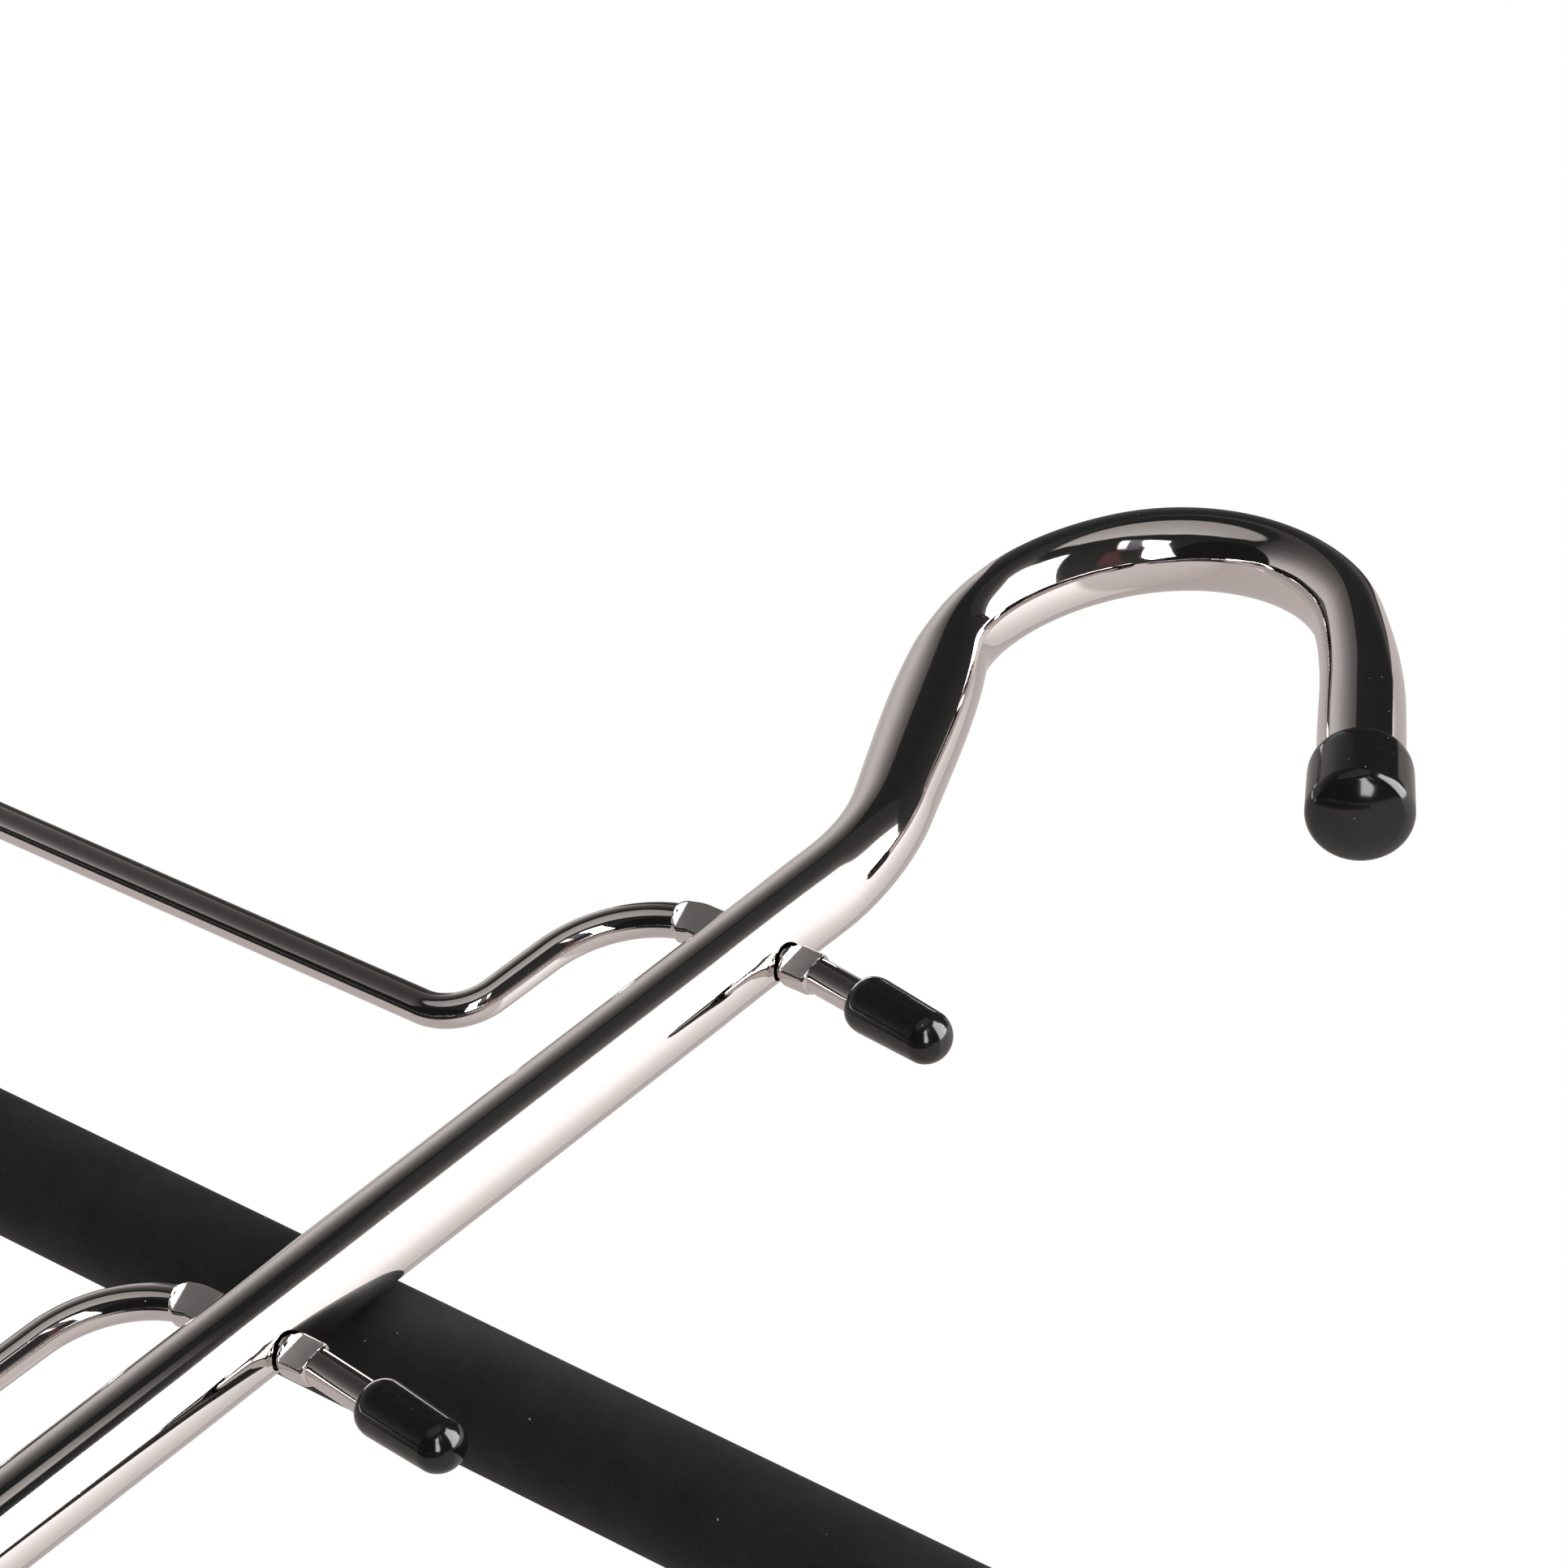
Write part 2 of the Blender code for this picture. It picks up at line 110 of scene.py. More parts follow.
class Path:
    """A line drawn in a plane: points, headings, and the distance gone at each point."""

    def __init__(self, start, heading):
        self.points = [np.array(start, float)]
        self.headings = [heading]
        self.gone = [0.0]

    def straight(self, length, steps=1):
        start, heading = self.points[-1], self.headings[-1]
        for step in range(1, steps + 1):
            self.points.append(start + length * step / steps * heading_vector(heading))
            self.headings.append(heading)
            self.gone.append(self.gone[-1] + length / steps)

    def arc(self, radius, turn, steps):
        """Turn left by a positive angle, right by a negative one."""
        side = math.copysign(1.0, turn)
        start, heading = self.points[-1], self.headings[-1]
        centre = start + radius * heading_vector(heading + side * math.pi / 2)
        for step in range(1, steps + 1):
            swept = heading + turn * step / steps
            self.points.append(centre + radius * heading_vector(swept - side * math.pi / 2))
            self.headings.append(swept)
            self.gone.append(self.gone[-1] + radius * abs(turn) / steps)


def blended(places, values, at):
    """Values between the given ones, on a curve with no creases."""
    places, values, at = np.array(places), np.array(values), np.array(at)
    slopes = np.gradient(values, places)
    left = np.clip(np.searchsorted(places, at, side="right") - 1, 0, len(places) - 2)
    span = places[left + 1] - places[left]
    t = np.clip((at - places[left]) / span, 0.0, 1.0)
    rise = (2 * t ** 3 - 3 * t ** 2 + 1) * values[left] + (3 * t ** 2 - 2 * t ** 3) * values[left + 1]
    lean = (t ** 3 - 2 * t ** 2 + t) * slopes[left] + (t ** 3 - t ** 2) * slopes[left + 1]
    return rise + lean * span


def line_object(name, points, **numbers):
    """A line of points, each with named numbers on it that a node tree can read."""
    mesh = bpy.data.meshes.new(name)
    mesh.from_pydata([(x, 0.0, z) for x, z in points], [(i, i + 1) for i in range(len(points) - 1)], [])
    for key, values in numbers.items():
        column = mesh.attributes.new(key, "FLOAT", "POINT")
        column.data.foreach_set("value", np.broadcast_to(values, len(points)).astype(np.float32))
    made = bpy.data.objects.new(name, mesh)
    bpy.context.scene.collection.objects.link(made)
    return made


# %% [markdown]
# ## Helpers for node trees and materials
# One function adds a node of any kind, and one runs a tree on an object and keeps the result as a plain
# mesh. Colours are written as sRGB hex values, the way a colour picker shows them. The scale of each pattern
# comes from a real size, given as how many of its features fit in a millimetre.

# %% Nodes, colours and plain meshes
def add(tree, kind, links=None, **settings):
    """A node with its settings. Each link is an output of another node, or a plain value."""
    node = tree.nodes.new(kind)
    for name, value in settings.items():
        setattr(node, name, value)
    for key, value in (links or {}).items():
        if isinstance(value, bpy.types.NodeSocket):
            tree.links.new(value, node.inputs[key])
        else:
            node.inputs[key].default_value = value
    return node


def new_tree(name, **inputs):
    """A geometry node tree with a mesh in, a mesh out, and named inputs of the given kinds."""
    tree = bpy.data.node_groups.new(name, "GeometryNodeTree")
    tree.interface.new_socket("Mesh", in_out="INPUT", socket_type="NodeSocketGeometry")
    for label, kind in inputs.items():
        tree.interface.new_socket(label, in_out="INPUT", socket_type="NodeSocket" + kind)
    tree.interface.new_socket("Mesh", in_out="OUTPUT", socket_type="NodeSocketGeometry")
    return tree, tree.nodes.new("NodeGroupInput").outputs, tree.nodes.new("NodeGroupOutput").inputs


def run_tree(source, tree, **values):
    """The plain mesh that the tree makes of the source object, which is then removed."""
    modifier = source.modifiers.new(tree.name, "NODES")
    modifier.node_group = tree
    for item in tree.interface.items_tree:
        if item.in_out == "INPUT" and item.name in values:
            modifier[item.identifier] = values[item.name]
    evaluated = source.evaluated_get(bpy.context.evaluated_depsgraph_get())
    mesh = bpy.data.meshes.new_from_object(evaluated)
    bpy.data.objects.remove(source)
    return mesh


def linear(hex_colour):
    """An sRGB hex colour as the linear numbers that a shader takes."""
    channels = [int(hex_colour[i:i + 2], 16) / 255 for i in (1, 3, 5)]
    return (*[c / 12.92 if c <= 0.04045 else ((c + 0.055) / 1.055) ** 2.4 for c in channels], 1.0)


def new_material(name, colour, roughness, metallic=0.0):
    """A material with its node tree and its main shader."""
    made = bpy.data.materials.new(name)
    made.use_nodes = True
    shader = made.node_tree.nodes["Principled BSDF"]
    shader.inputs["Base Color"].default_value = linear(colour)
    shader.inputs["Roughness"].default_value = roughness
    shader.inputs["Metallic"].default_value = metallic
    return made, made.node_tree, shader


def specks(tree, spot, per_mm, core, border, most):
    """Dust specks at random, so many to a millimetre: strongest in their cores, and nothing past their borders."""
    dust = add(tree, "ShaderNodeTexVoronoi", {"Vector": spot, "Scale": per_mm / MM})
    return add(tree, "ShaderNodeMapRange", {"Value": dust.outputs["Distance"], "From Min": core, "From Max": border,
                                            "To Min": most, "To Max": 0.0}).outputs["Result"]


# %% [markdown]
# ## Chrome-plated steel
# Steel tube and wire are polished, plated with nickel and then with a thin bright layer of chromium. The
# eye sees a mirror, a little warm where it shows the white table, that is darker than silver. Handling
# leaves faint haze, in patches about a centimetre across, and dust specks of 0.2 mm lie a few to the
# centimetre. Where a press has crimped the wire, its dies have crushed the polish to a matt, grainy grey:
# the grain is 0.2 mm wide, and the wire's mesh marks those places with the number "crushed".

# %% Chrome
HAZE_PER_MM = 0.09  # patches 11 mm wide
DUST_PER_MM = 0.42  # specks 2.4 mm apart
GRAINS_PER_MM = 5.0  # grains 0.2 mm wide
CRUSHED_ROUGHNESS = 0.36

chrome, tree, shader = new_material("chrome_plated_steel", "#E2DCDA", 0.035, 1.0)
spot = add(tree, "ShaderNodeTexCoord").outputs["Object"]
haze = add(tree, "ShaderNodeTexNoise", {"Vector": spot, "Scale": HAZE_PER_MM / MM, "Detail": 3.0})
rough = add(tree, "ShaderNodeMapRange", {"Value": haze.outputs["Fac"], "From Min": 0.35, "From Max": 0.75,
                                         "To Min": 0.03, "To Max": 0.06}).outputs["Result"]
speck = specks(tree, spot, DUST_PER_MM, 0.02, 0.05, 0.65)
rough = add(tree, "ShaderNodeMath", {0: rough, 1: speck}, operation="MAXIMUM").outputs[0]
crushed = add(tree, "ShaderNodeAttribute", attribute_name="crushed").outputs["Fac"]
matt = add(tree, "ShaderNodeMath", {0: crushed, 1: CRUSHED_ROUGHNESS}, operation="MULTIPLY").outputs[0]
rough = add(tree, "ShaderNodeMath", {0: rough, 1: matt}, operation="MAXIMUM").outputs[0]
tree.links.new(rough, shader.inputs["Roughness"])
grain = add(tree, "ShaderNodeTexNoise", {"Vector": spot, "Scale": GRAINS_PER_MM / MM, "Detail": 2.0})
bump = add(tree, "ShaderNodeBump", {"Height": grain.outputs["Fac"], "Strength": crushed, "Distance": 0.003 * MM})
tree.links.new(bump.outputs["Normal"], shader.inputs["Normal"])
print("chrome:", len(tree.nodes), "nodes")

# %% [markdown]
# ## Dipped vinyl
# The caps are made by dipping a hot steel pin into liquid PVC. That leaves a glossy black skin, smooth but
# with slow waves 3 mm long, like thick paint. A thin film greys it in places, and a few specks of dust
# lie on it.

# %% Black vinyl
FILM_PER_MM = 1.5  # patches 0.7 mm wide
CAP_DUST_PER_MM = 0.52  # specks 1.9 mm apart
WAVES_PER_MM = 0.35  # waves 3 mm long

vinyl, tree, shader = new_material("black_dipped_vinyl", "#171718", 0.12)
spot = add(tree, "ShaderNodeTexCoord").outputs["Object"]
film = add(tree, "ShaderNodeTexNoise", {"Vector": spot, "Scale": FILM_PER_MM / MM, "Detail": 4.0, "Roughness": 0.6})
tone = add(tree, "ShaderNodeMapRange", {"Value": film.outputs["Fac"], "From Min": 0.4, "From Max": 0.75}).outputs[0]
tone = add(tree, "ShaderNodeMix", {0: tone, 6: linear("#101011"), 7: linear("#171616")}, data_type="RGBA").outputs[2]
speck = specks(tree, spot, CAP_DUST_PER_MM, 0.03, 0.06, 0.5)
tone = add(tree, "ShaderNodeMix", {0: speck, 6: tone, 7: linear("#9A9692")}, data_type="RGBA").outputs[2]
tree.links.new(tone, shader.inputs["Base Color"])
wave = add(tree, "ShaderNodeTexNoise", {"Vector": spot, "Scale": WAVES_PER_MM / MM, "Detail": 1.0})
bump = add(tree, "ShaderNodeBump", {"Height": wave.outputs["Fac"], "Strength": 0.3, "Distance": 0.05 * MM})
tree.links.new(bump.outputs["Normal"], shader.inputs["Normal"])
print("vinyl:", len(tree.nodes), "nodes")

# %% [markdown]
# ## Foam rubber
# The sleeves are extruded cellular rubber: matt black, with open cells about 0.2 mm across, drawn here
# half as coarse again so that they show. Light catches on the cells' rims, the skin is paler in faint clouds
# where hands have rubbed it, and white dust clings to it.

# %% Black foam
CELLS_PER_MM = 3.4  # cells 0.3 mm wide
CLOUDS_PER_MM = 0.16  # clouds 6 mm wide
FOAM_DUST_PER_MM = 0.28  # specks 3.6 mm apart

foam, tree, shader = new_material("black_foam_rubber", "#121213", 0.65)
shader.inputs["Specular IOR Level"].default_value = 0.22
spot = add(tree, "ShaderNodeTexCoord").outputs["Object"]
cells = add(tree, "ShaderNodeTexVoronoi", {"Vector": spot, "Scale": CELLS_PER_MM / MM})
cloud = add(tree, "ShaderNodeTexNoise", {"Vector": spot, "Scale": CLOUDS_PER_MM / MM, "Detail": 4.0, "Roughness": 0.65})
shade = add(tree, "ShaderNodeMath", {0: cells.outputs["Distance"], 1: 0.55, 2: cloud.outputs["Fac"]},
            operation="MULTIPLY_ADD").outputs[0]
tone = add(tree, "ShaderNodeMapRange", {"Value": shade, "From Min": 0.35, "From Max": 1.15}).outputs["Result"]
tone = add(tree, "ShaderNodeMix", {0: tone, 6: linear("#1A1A1B"), 7: linear("#0A0A0B")}, data_type="RGBA").outputs[2]
speck = specks(tree, spot, FOAM_DUST_PER_MM, 0.02, 0.04, 0.7)
tone = add(tree, "ShaderNodeMix", {0: speck, 6: tone, 7: linear("#A8A4A0")}, data_type="RGBA").outputs[2]
tree.links.new(tone, shader.inputs["Base Color"])
bump = add(tree, "ShaderNodeBump", {"Height": cells.outputs["Distance"], "Strength": 0.35, "Distance": 0.1 * MM},
           invert=True)
tree.links.new(bump.outputs["Normal"], shader.inputs["Normal"])
print("foam:", len(tree.nodes), "nodes")

# %% [markdown]
# ## The rod that follows a path
# Tube and wire differ only in size, so one node tree makes both. It sweeps a circle along the path and then
# reads numbers from each point: how wide the section is in the plane of the bends, how high across it,
# how far a dent presses its sides in, and at what height a crimp cuts it flat. The flat's edge is rounded
# over a quarter of a millimetre. A sweep in nodes suits it, because the rule is the same at each point and
# only the numbers change.

# %% The rod tree
FLAT_EDGE = 0.25 * MM
ROD_VECTORS = ("centre", "ahead", "round")
ROD_NUMBERS = ("half_width", "half_height", "clip", "pressed")


def rod_sweep(tree, path, sides, wall):
    """Adds the nodes that sweep a section along a path, all of it smaller by a wall."""
    place = add(tree, "GeometryNodeInputPosition").outputs[0]
    heading = add(tree, "GeometryNodeInputTangent").outputs[0]
    curve = add(tree, "GeometryNodeMeshToCurve", {"Mesh": path}).outputs[0]
    for name, value in (("centre", place), ("ahead", heading)):
        curve = add(tree, "GeometryNodeStoreNamedAttribute", {"Geometry": curve, "Name": name, "Value": value},
                    data_type="FLOAT_VECTOR", domain="POINT").outputs[0]
    circle = add(tree, "GeometryNodeCurvePrimitiveCircle", {"Resolution": sides, "Radius": 1.0}).outputs[0]
    circle = add(tree, "GeometryNodeStoreNamedAttribute", {"Geometry": circle, "Name": "round", "Value": place},
                 data_type="FLOAT_VECTOR", domain="POINT").outputs[0]
    swept = add(tree, "GeometryNodeCurveToMesh", {"Curve": curve, "Profile Curve": circle, "Fill Caps": True})
    vector = {name: add(tree, "GeometryNodeInputNamedAttribute", {"Name": name}, data_type="FLOAT_VECTOR").outputs[0]
              for name in ROD_VECTORS}
    number = {name: add(tree, "GeometryNodeInputNamedAttribute", {"Name": name}, data_type="FLOAT").outputs[0]
              for name in ROD_NUMBERS}
    turn = add(tree, "ShaderNodeSeparateXYZ", {0: vector["round"]}).outputs
    aside = add(tree, "ShaderNodeMath", {0: turn["X"]}, operation="ABSOLUTE").outputs[0]
    aside = add(tree, "ShaderNodeMath", {0: aside, 1: 3.0}, operation="POWER").outputs[0]
    dent = add(tree, "ShaderNodeMath", {0: number["pressed"], 1: aside}, operation="MULTIPLY").outputs[0]
    width = add(tree, "ShaderNodeMath", {0: number["half_width"], 1: wall}, operation="SUBTRACT").outputs[0]
    width = add(tree, "ShaderNodeMath", {0: width, 1: dent}, operation="SUBTRACT").outputs[0]
    height = add(tree, "ShaderNodeMath", {0: number["half_height"], 1: wall}, operation="SUBTRACT").outputs[0]
    to_side = add(tree, "ShaderNodeMath", {0: width, 1: turn["X"]}, operation="MULTIPLY").outputs[0]
    to_back = add(tree, "ShaderNodeMath", {0: height, 1: turn["Y"]}, operation="MULTIPLY").outputs[0]
    to_back = add(tree, "ShaderNodeMath", {0: to_back, 1: number["clip"], 2: FLAT_EDGE},
                  operation="SMOOTH_MIN").outputs[0]
    to_front = add(tree, "ShaderNodeMath", {0: number["clip"], 1: -1.0}, operation="MULTIPLY").outputs[0]
    to_back = add(tree, "ShaderNodeMath", {0: to_back, 1: to_front, 2: FLAT_EDGE},
                  operation="SMOOTH_MAX").outputs[0]
    side_way = add(tree, "ShaderNodeVectorMath", {0: vector["ahead"], 1: (0.0, 1.0, 0.0)}, operation="CROSS_PRODUCT")
    side_step = add(tree, "ShaderNodeVectorMath", {0: side_way.outputs[0], "Scale": to_side}, operation="SCALE")
    back_step = add(tree, "ShaderNodeCombineXYZ", {"Y": to_back})
    offset = add(tree, "ShaderNodeVectorMath", {0: side_step.outputs[0], 1: back_step.outputs[0]}, operation="ADD")
    where = add(tree, "ShaderNodeVectorMath", {0: vector["centre"], 1: offset.outputs[0]}, operation="ADD")
    placed = add(tree, "GeometryNodeSetPosition", {"Geometry": swept.outputs[0], "Position": where.outputs[0]})
    return placed.outputs[0]


rod_tree, given, made = new_tree("rod_along_a_path", Sides="Int", Finish="Material")
rod = rod_sweep(rod_tree, given["Mesh"], given["Sides"], 0.0)
rod = add(rod_tree, "GeometryNodeRealizeInstances", {"Geometry": rod}).outputs[0]
rod = add(rod_tree, "GeometryNodeSetMaterial", {"Geometry": rod, "Material": given["Finish"]}).outputs[0]
rod_tree.links.new(rod, made["Mesh"])
print("rod tree:", len(rod_tree.nodes), "nodes")

# %% [markdown]
# ## The spine's path
# The tube rises straight past four pivots, leans left through the neck, and turns right over the hook in
# three arcs. Each bend has a radius and a turn in degrees, positive to the left. Bending draws the tube's
# sides in: the tables give the share of that squeeze at even steps round each bend, as the photograph
# shows it. A punch has pressed the sides in a little round each cross hole.

# %% Path of the tube
TAIL_GAP = 1.5 * MM
TAIL_COVERED = 8.8 * MM
TAIL_LENGTH = BAR_DROP * math.cos(rest_tilt) + SLEEVE_SOLID_RADIUS + TAIL_GAP + TAIL_COVERED
NECK_START = 12.2 * MM
NECK_BEND = (38.0 * MM, 26.5)
NECK_LENGTH = 27.5 * MM
SIDE_BEND = (28.3 * MM, -63.0)
TOP_BEND = (21.2 * MM, -97.0)
LIP_BEND = (88.0 * MM, -10.7)
LIP_LENGTH = 20.2 * MM
BEND_SQUEEZE = 0.95 * MM
BEND_SWELL = 0.10 * MM
DENT_DEPTH = 0.25 * MM
DENT_REACH = 12.0 * MM
SQUEEZE_START = 6.0 * MM
NECK_SHARES = (0.25, 0.40, 0.40, 0.30)
NECK_TOP_SHARE = 0.40
SIDE_SHARES = (0.90, 1.00, 0.90, 0.70, 0.50, 0.35, 0.20)
TOP_SHARES = (0.15, 0.25, 0.45, 0.65, 0.85, 1.00, 1.00, 0.95, 0.85, 0.80, 0.75)
LIP_SHARES = (0.35, 0.00)

path = Path((spine_x, TOP_PIVOT.z - (TIERS - 1) * TIER_PITCH - TAIL_LENGTH), math.pi / 2)
for tier in range(TIERS, 0, -1):
    dent_start = TOP_PIVOT.z - (tier - 1) * TIER_PITCH - DENT_REACH
    path.straight(dent_start - path.points[-1][1])
    path.straight(2 * DENT_REACH, 60)
path.straight(TOP_PIVOT.z + NECK_START - path.points[-1][1])
places, shares = [path.gone[0], path.gone[-1] - SQUEEZE_START, path.gone[-1]], [0.0, 0.0, 0.0]


def bend(radius, degrees, table):
    """One bend of the tube, with its table of squeeze shares at even steps after its start."""
    start = path.gone[-1]
    path.arc(radius, math.radians(degrees), max(12, round(abs(degrees))))
    places.extend(np.linspace(start, path.gone[-1], len(table) + 1)[1:])
    shares.extend(table)


bend(*NECK_BEND, NECK_SHARES)
path.straight(NECK_LENGTH, 16)
places.append(path.gone[-1])
shares.append(NECK_TOP_SHARE)
bend(*SIDE_BEND, SIDE_SHARES)
bend(*TOP_BEND, TOP_SHARES)
bend(*LIP_BEND, LIP_SHARES)
path.straight(LIP_LENGTH, 4)
places.append(path.gone[-1])
shares.append(0.0)

squeeze = blended(places, shares, path.gone)
heights = np.array([point[1] for point in path.points])
straight_part = np.abs(np.array(path.headings) - math.pi / 2) < 1e-6
pressed = np.zeros(len(heights))
for tier in range(TIERS):
    away = np.abs(heights - (TOP_PIVOT.z - tier * TIER_PITCH)) / DENT_REACH
    pressed += np.where(straight_part & (away < 1), DENT_DEPTH * (1 - np.minimum(away, 1) ** 2) ** 2, 0.0)
spine_path = path
tip = [round(1000 * c, 2) for c in path.points[-1]]
print("tube length in mm:", round(1000 * path.gone[-1], 1), "hook tip at", tip)

# %% [markdown]
# ## The spine tube
# A second tree sweeps the tube and its bore, puts a drill at each pivot, and cuts bore and holes out of the
# tube. The drills are instances on a line of points, one for each tier, so that the pitch and the number of
# tiers are single inputs.

# %% The spine tree and the tube
TUBE_SIDES = 96
BORE_SIDES = 48
HOLE_SIDES = 96

spine_tree, given, made = new_tree("drilled_spine", Sides="Int", Wall="Float", Tiers="Int", Pitch="Float",
                                   Top="Vector", Hole="Float", Finish="Material")
tube = rod_sweep(spine_tree, given["Mesh"], given["Sides"], 0.0)
bore = rod_sweep(spine_tree, given["Mesh"], BORE_SIDES, given["Wall"])
step = add(spine_tree, "ShaderNodeCombineXYZ", {"Z": add(
    spine_tree, "ShaderNodeMath", {0: given["Pitch"], 1: -1.0}, operation="MULTIPLY").outputs[0]}).outputs[0]
pivots = add(spine_tree, "GeometryNodeMeshLine", {"Count": given["Tiers"], "Start Location": given["Top"],
                                                  "Offset": step}).outputs[0]
drill = add(spine_tree, "GeometryNodeMeshCylinder", {"Vertices": HOLE_SIDES, "Radius": given["Hole"],
                                                     "Depth": 4 * TUBE_RADIUS})
drills = add(spine_tree, "GeometryNodeInstanceOnPoints", {"Points": pivots, "Instance": drill.outputs["Mesh"],
                                                          "Rotation": (0.0, math.pi / 2, 0.0)}).outputs[0]
drills = add(spine_tree, "GeometryNodeRealizeInstances", {"Geometry": drills}).outputs[0]
cut = add(spine_tree, "GeometryNodeMeshBoolean", {"Mesh 1": tube}, operation="DIFFERENCE", solver="EXACT")
spine_tree.links.new(bore, cut.inputs["Mesh 2"])
spine_tree.links.new(drills, cut.inputs["Mesh 2"])
drilled = add(spine_tree, "GeometryNodeRealizeInstances", {"Geometry": cut.outputs["Mesh"]}).outputs[0]
drilled = add(spine_tree, "GeometryNodeSetMaterial", {"Geometry": drilled, "Material": given["Finish"]}).outputs[0]
spine_tree.links.new(drilled, made["Mesh"])

numbers = {"half_width": TUBE_RADIUS - squeeze * BEND_SQUEEZE, "half_height": TUBE_RADIUS + squeeze * BEND_SWELL,
           "clip": 1.0, "pressed": pressed}
plain_tube = run_tree(line_object("tube_path", path.points, **numbers), rod_tree, Sides=TUBE_SIDES, Finish=chrome)
spine_mesh = run_tree(line_object("tube_path", path.points, **numbers), spine_tree, Sides=TUBE_SIDES, Wall=TUBE_WALL,
                      Tiers=TIERS, Pitch=TIER_PITCH, Top=TOP_PIVOT, Hole=HOLE_RADIUS, Finish=chrome)
print("spine:", len(plain_tube.polygons), "faces before drilling,", len(spine_mesh.polygons), "after")

# %% [markdown]
# ## Smoothing the drilled tube
# Drilling leaves long thin faces round each hole, and a mirror would show them. The plain tube from the
# first tree has an even net of faces, so its smooth normals are copied onto the drilled one, wherever the
# two surfaces lie together.

# %% Smooth the drilled tube
SAME_PLACE = 0.02 * MM
SAME_WAY = 0.85


def tidy_mesh(mesh, sharp_degrees=40.0):
    """Faces outward, smooth shading, sharp edges only where faces meet steeply, and no leftover numbers."""
    work = bmesh.new()
    work.from_mesh(mesh)
    bmesh.ops.remove_doubles(work, verts=work.verts, dist=1e-7)
    bmesh.ops.recalc_face_normals(work, faces=work.faces)
    if work.calc_volume(signed=True) < 0:
        bmesh.ops.reverse_faces(work, faces=work.faces)
    work.to_mesh(mesh)
    work.free()
    for name in [a.name for a in mesh.attributes if a.name in ROD_VECTORS + ROD_NUMBERS]:
        mesh.attributes.remove(mesh.attributes[name])
    mesh.shade_smooth()
    mesh.set_sharp_from_angle(angle=math.radians(sharp_degrees))
    return mesh


def copy_normals(mesh, smooth):
    """Gives the mesh the smooth one's normals wherever their surfaces agree."""
    surface = BVHTree.FromPolygons([v.co for v in smooth.vertices], [p.vertices for p in smooth.polygons])
    corner_normals = [Vector(n.vector) for n in mesh.corner_normals]
    taken = 0
    for face in mesh.polygons:
        for corner in face.loop_indices:
            point = mesh.vertices[mesh.loops[corner].vertex_index].co
            _, facing, index, distance = surface.find_nearest(point)
            if distance < SAME_PLACE and face.normal.dot(facing) > SAME_WAY:
                near = smooth.polygons[index]
                weights = [1.0 / (1e-9 + (smooth.vertices[v].co - point).length_squared) for v in near.vertices]
                total = sum((smooth.vertices[v].normal * w for v, w in zip(near.vertices, weights)), Vector())
                corner_normals[corner] = total.normalized()
                taken += 1
    mesh.normals_split_custom_set(corner_normals)
    return taken


tidy_mesh(plain_tube)
tidy_mesh(spine_mesh)
print("normals taken from the plain tube:", copy_normals(spine_mesh, plain_tube))


def show(name, mesh, body, node, finish):
    """A finished piece that rides on its body and stands for its CAD node."""
    mesh.materials.clear()
    mesh.materials.append(finish)
    mesh.name = name
    made = bpy.data.objects.new(name, mesh)
    bpy.context.scene.collection.objects.link(made)
    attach(made, body)
    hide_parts(node)
    return made


show("spine_tube", spine_mesh, "frame", "hook_spine", chrome)

# %% [markdown]
# ## The arm's path
# Each arm is one wire, drawn here in its own plane with its pivot at the origin: a short stub to the right
# that droops a little, and to the left a shoulder, a crank down, a long run that rises slightly, and two
# corners into the bar. Two halves that start at the pivot are joined into one path.

# %% Path of the wire
WIRE_CAP_END = 3.0 * MM
STUB_BEND = 9.4 * MM
STUB_CORNER = 6.0 * MM
STUB_REACH = 29.0 * MM
DROOP = math.radians(5.8)
SHOULDER = 8.3 * MM
SHOULDER_FALL = math.radians(17.0)
CRANK_BASE = 18.3 * MM
CRANK_LEAN = math.radians(11.0)
CRANK_DROP = 24.7 * MM
RUN_RISE = math.radians(0.6)
ARM_REACH = 176.0 * MM
FAR_CORNER = 14.0 * MM
BAR_REACH = 178.0 * MM


def rounded(corners, radii, degrees_a_step=2.0):
    """The path through the corners, each inner one rounded to its radius."""
    corners = [np.array(corner, float) for corner in corners]
    first = corners[1] - corners[0]
    made = Path(corners[0], math.atan2(first[1], first[0]))
    for before, corner, after, radius in zip(corners, corners[1:], corners[2:], radii):
        leg_in, leg_out = corner - before, after - corner
        turn = math.atan2(leg_in[0] * leg_out[1] - leg_in[1] * leg_out[0], leg_in @ leg_out)
        reach = np.linalg.norm(corner - made.points[-1]) - radius * math.tan(abs(turn) / 2)
        made.straight(reach)
        made.arc(radius, turn, max(4, round(abs(math.degrees(turn)) / degrees_a_step)))
    made.straight(np.linalg.norm(corners[-1] - made.points[-1]))
    return made


def where_lines_meet(point, way, other, other_way):
    """Where the line through one point meets the line through another."""
    gap = other - point
    reach = (gap[0] * other_way[1] - gap[1] * other_way[0]) / (way[0] * other_way[1] - way[1] * other_way[0])
    return point + way * reach


stub_bend = np.array([STUB_BEND, 0.0])
stub_end = STUB_REACH - WIRE_CAP_END - FIT_GAP - stub_bend[0]
stub_tip = stub_bend + heading_vector(-DROOP) * stub_end / math.cos(DROOP)
stub_path = rounded([(0, 0), stub_bend, stub_tip], [STUB_CORNER])

